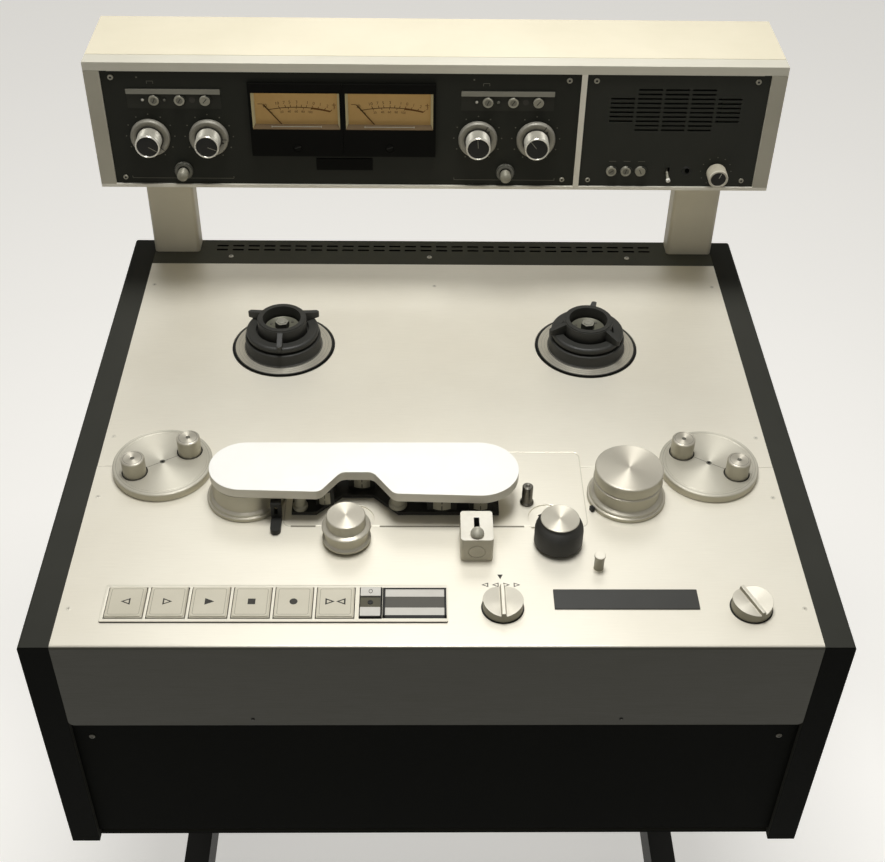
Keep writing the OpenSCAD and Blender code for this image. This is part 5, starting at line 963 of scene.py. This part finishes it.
lifted(onPanel(vx, vz, out, monitor.pointer), bar(0.6, 5.2, 0, 3.9), -0.95, -0.6, 3)
knob = finished("volume_cap", ["volumeCream", "rimCream", "pitchBlack", "lampPale"], "volume_knob")
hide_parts("volume_knob")
dialDots("volume_dots", vx, vz, monitor.dotsAt, 0.6)
r = monitor.jackR
turned(onPanel(monitor.jackX, monitor.z), [(r, -0.3), (r, 0.25), (r + 0.5, 0.5), (r + 1.2, 0.45), (r + 1.6, -0.02)],
    40)
finished("socket_rim", ["pitchBlack"])
x = middle("monitor_switch")[0]
lever = onPanel(x, monitor.z, -monitor.hinge) @ spun(monitor.tilt, "X")
turned(lever, [(0, -2.6), (2.0, -2.6), (2.2, 2.4), (1.3, 5.0), (1.2, 9.0), (1.6, 18.0), (1.7, 18.6)], 32)
turned(lever, [(1.6, 18.3), (2.1, 18.7), (2.15, 20.6), (1.6, 21.2), (0, 21.35)], 32, 1)
switch = finished("toggle_lever", ["buttonGrey", "printWhite"], "monitor_switch")
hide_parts("monitor_switch")
w, h = monitor.slotW, monitor.slotH
for wide, tall, cx, cy in ((9.0, 4.8, 0, h / 2 + 2.4), (9.0, 4.8, 0, -h / 2 - 2.4),
        (2.3, h + 0.02, -w / 2 - 1.15, 0), (2.3, h + 0.02, w / 2 + 1.15, 0)):
    lifted(onPanel(x, monitor.z), bar(wide, tall, cx, cy), -0.8, 0.2)
finished("toggle_plate", ["panelBlack"])
print("speaker panel dressed")

# stage: a pale floor and surround, a lamp over the deck, one behind for the metal's sheen, a fill and a soft pool
studio = Layout(floor=(233, 231, 226), floorLift=0.5, lampPower=24.0, lampSize=0.6, lampAt=(0.0, 0.06, 2.4),
    sheenPower=2.6, sheenAt=(0.0, 1.35, 2.3), fillPower=1.5, fillAt=(-0.6, -3.0, 2.0), surround=0.55, glow=0.19,
    poolPower=28.0, poolAt=(0.0, 0.0, 2.3), poolAngle=30.0)
layFinish("studioFloor", coat(studio.floor, (226, 224, 219), cloud=0.8, rough=0.85, swing=0.05, grain=300, bump=0.03,
    depth=0.0004, gloss=0.2))


def looksOut(tree):  # 1 where the camera, a reflection or a clear part looks
    rays = addNode(tree, "LightPath").outputs
    seen = combined(tree, "MAXIMUM", rays["Is Camera Ray"], rays["Is Glossy Ray"])
    return combined(tree, "MAXIMUM", seen, rays["Is Transmission Ray"])


tree = finishOf["studioFloor"].node_tree
glow = spread(tree, looksOut(tree), 0, studio.floorLift)
feed(tree, tree.nodes["Principled BSDF"], Emission_Color=tone(250, 248, 243), Emission_Strength=glow)
half = 9.0  # metres
bm.faces.new([bm.verts.new((x, y, 0)) for x, y in bar(2 * half, 2 * half)])
ground = bpy.data.meshes.new("studio_floor")
bm.to_mesh(ground)
bm.free()
ground.materials.append(finishOf["studioFloor"])
floor = bpy.data.objects.new("studio_floor", ground)
bpy.context.scene.collection.objects.link(floor)


def lamp(name, at, aim, size, power, kind="AREA"):
    light = bpy.data.lights.new(name, kind)
    light.energy = power
    if kind == "AREA":
        light.shape, light.size, light.size_y = "RECTANGLE", size, size * 0.8
    else:
        light.shadow_soft_size = size
    holder = bpy.data.objects.new(name, light)
    holder.location = at
    holder.rotation_mode = "QUATERNION"
    holder.rotation_quaternion = (Vector(aim) - Vector(at)).to_track_quat("-Z", "Y")
    holder.visible_camera = False
    bpy.context.scene.collection.objects.link(holder)
    return holder


lamp("deck_lamp", studio.lampAt, (0, 0.0, 0.76), studio.lampSize, studio.lampPower)
lamp("sheen_lamp", studio.sheenAt, (0, -0.2, 0.76), 0.9, studio.sheenPower)
lamp("front_fill", studio.fillAt, (0, 0, 0.7), 2.2, studio.fillPower)
# a soft pool of light on the deck's middle
pool = lamp("deck_pool", studio.poolAt, (0, 0.03, 0.76), 0.3, studio.poolPower, "SPOT")
pool.data.spot_size, pool.data.spot_blend = radians(studio.poolAngle), 1.0

world = bpy.data.worlds.new("studio_surround")
bpy.context.scene.world = world
world.use_nodes = True
tree = world.node_tree
glow = blendValue(tree, looksOut(tree), studio.glow, studio.surround)
feed(tree, tree.nodes["Background"], Color=tone(252, 250, 246), Strength=glow)
bpy.context.scene.view_settings.view_transform = "Standard"

# camera at the photograph's angle
view = Layout(at=(-17.41, -700.37, 830.74), lens=54.757, pitch=40.71, yaw=1.390, roll=1.070)
pitch, yaw, roll = (radians(a) for a in (view.pitch, view.yaw, view.roll))
ahead = Vector((sin(yaw) * cos(pitch), cos(yaw) * cos(pitch), -sin(pitch)))
side = Vector((cos(yaw), -sin(yaw), 0))
up = side.cross(ahead)
camX = side * cos(roll) + up * sin(roll)
camY = -side * sin(roll) + up * cos(roll)
lens = bpy.data.cameras.new("operator_view")
lens.lens, lens.sensor_width, lens.sensor_fit = view.lens, 36.0, "HORIZONTAL"
lens.clip_start, lens.clip_end = 0.05, 60
eye = bpy.data.objects.new("operator_view", lens)
place = onDeck(*view.at[:2], view.at[2]).translation
eye.matrix_world = Matrix(((camX.x, camY.x, -ahead.x, place.x), (camX.y, camY.y, -ahead.y, place.y),
    (camX.z, camY.z, -ahead.z, place.z), (0, 0, 0, 1)))
bpy.context.scene.collection.objects.link(eye)
bpy.context.scene.camera = eye
print("stage set")
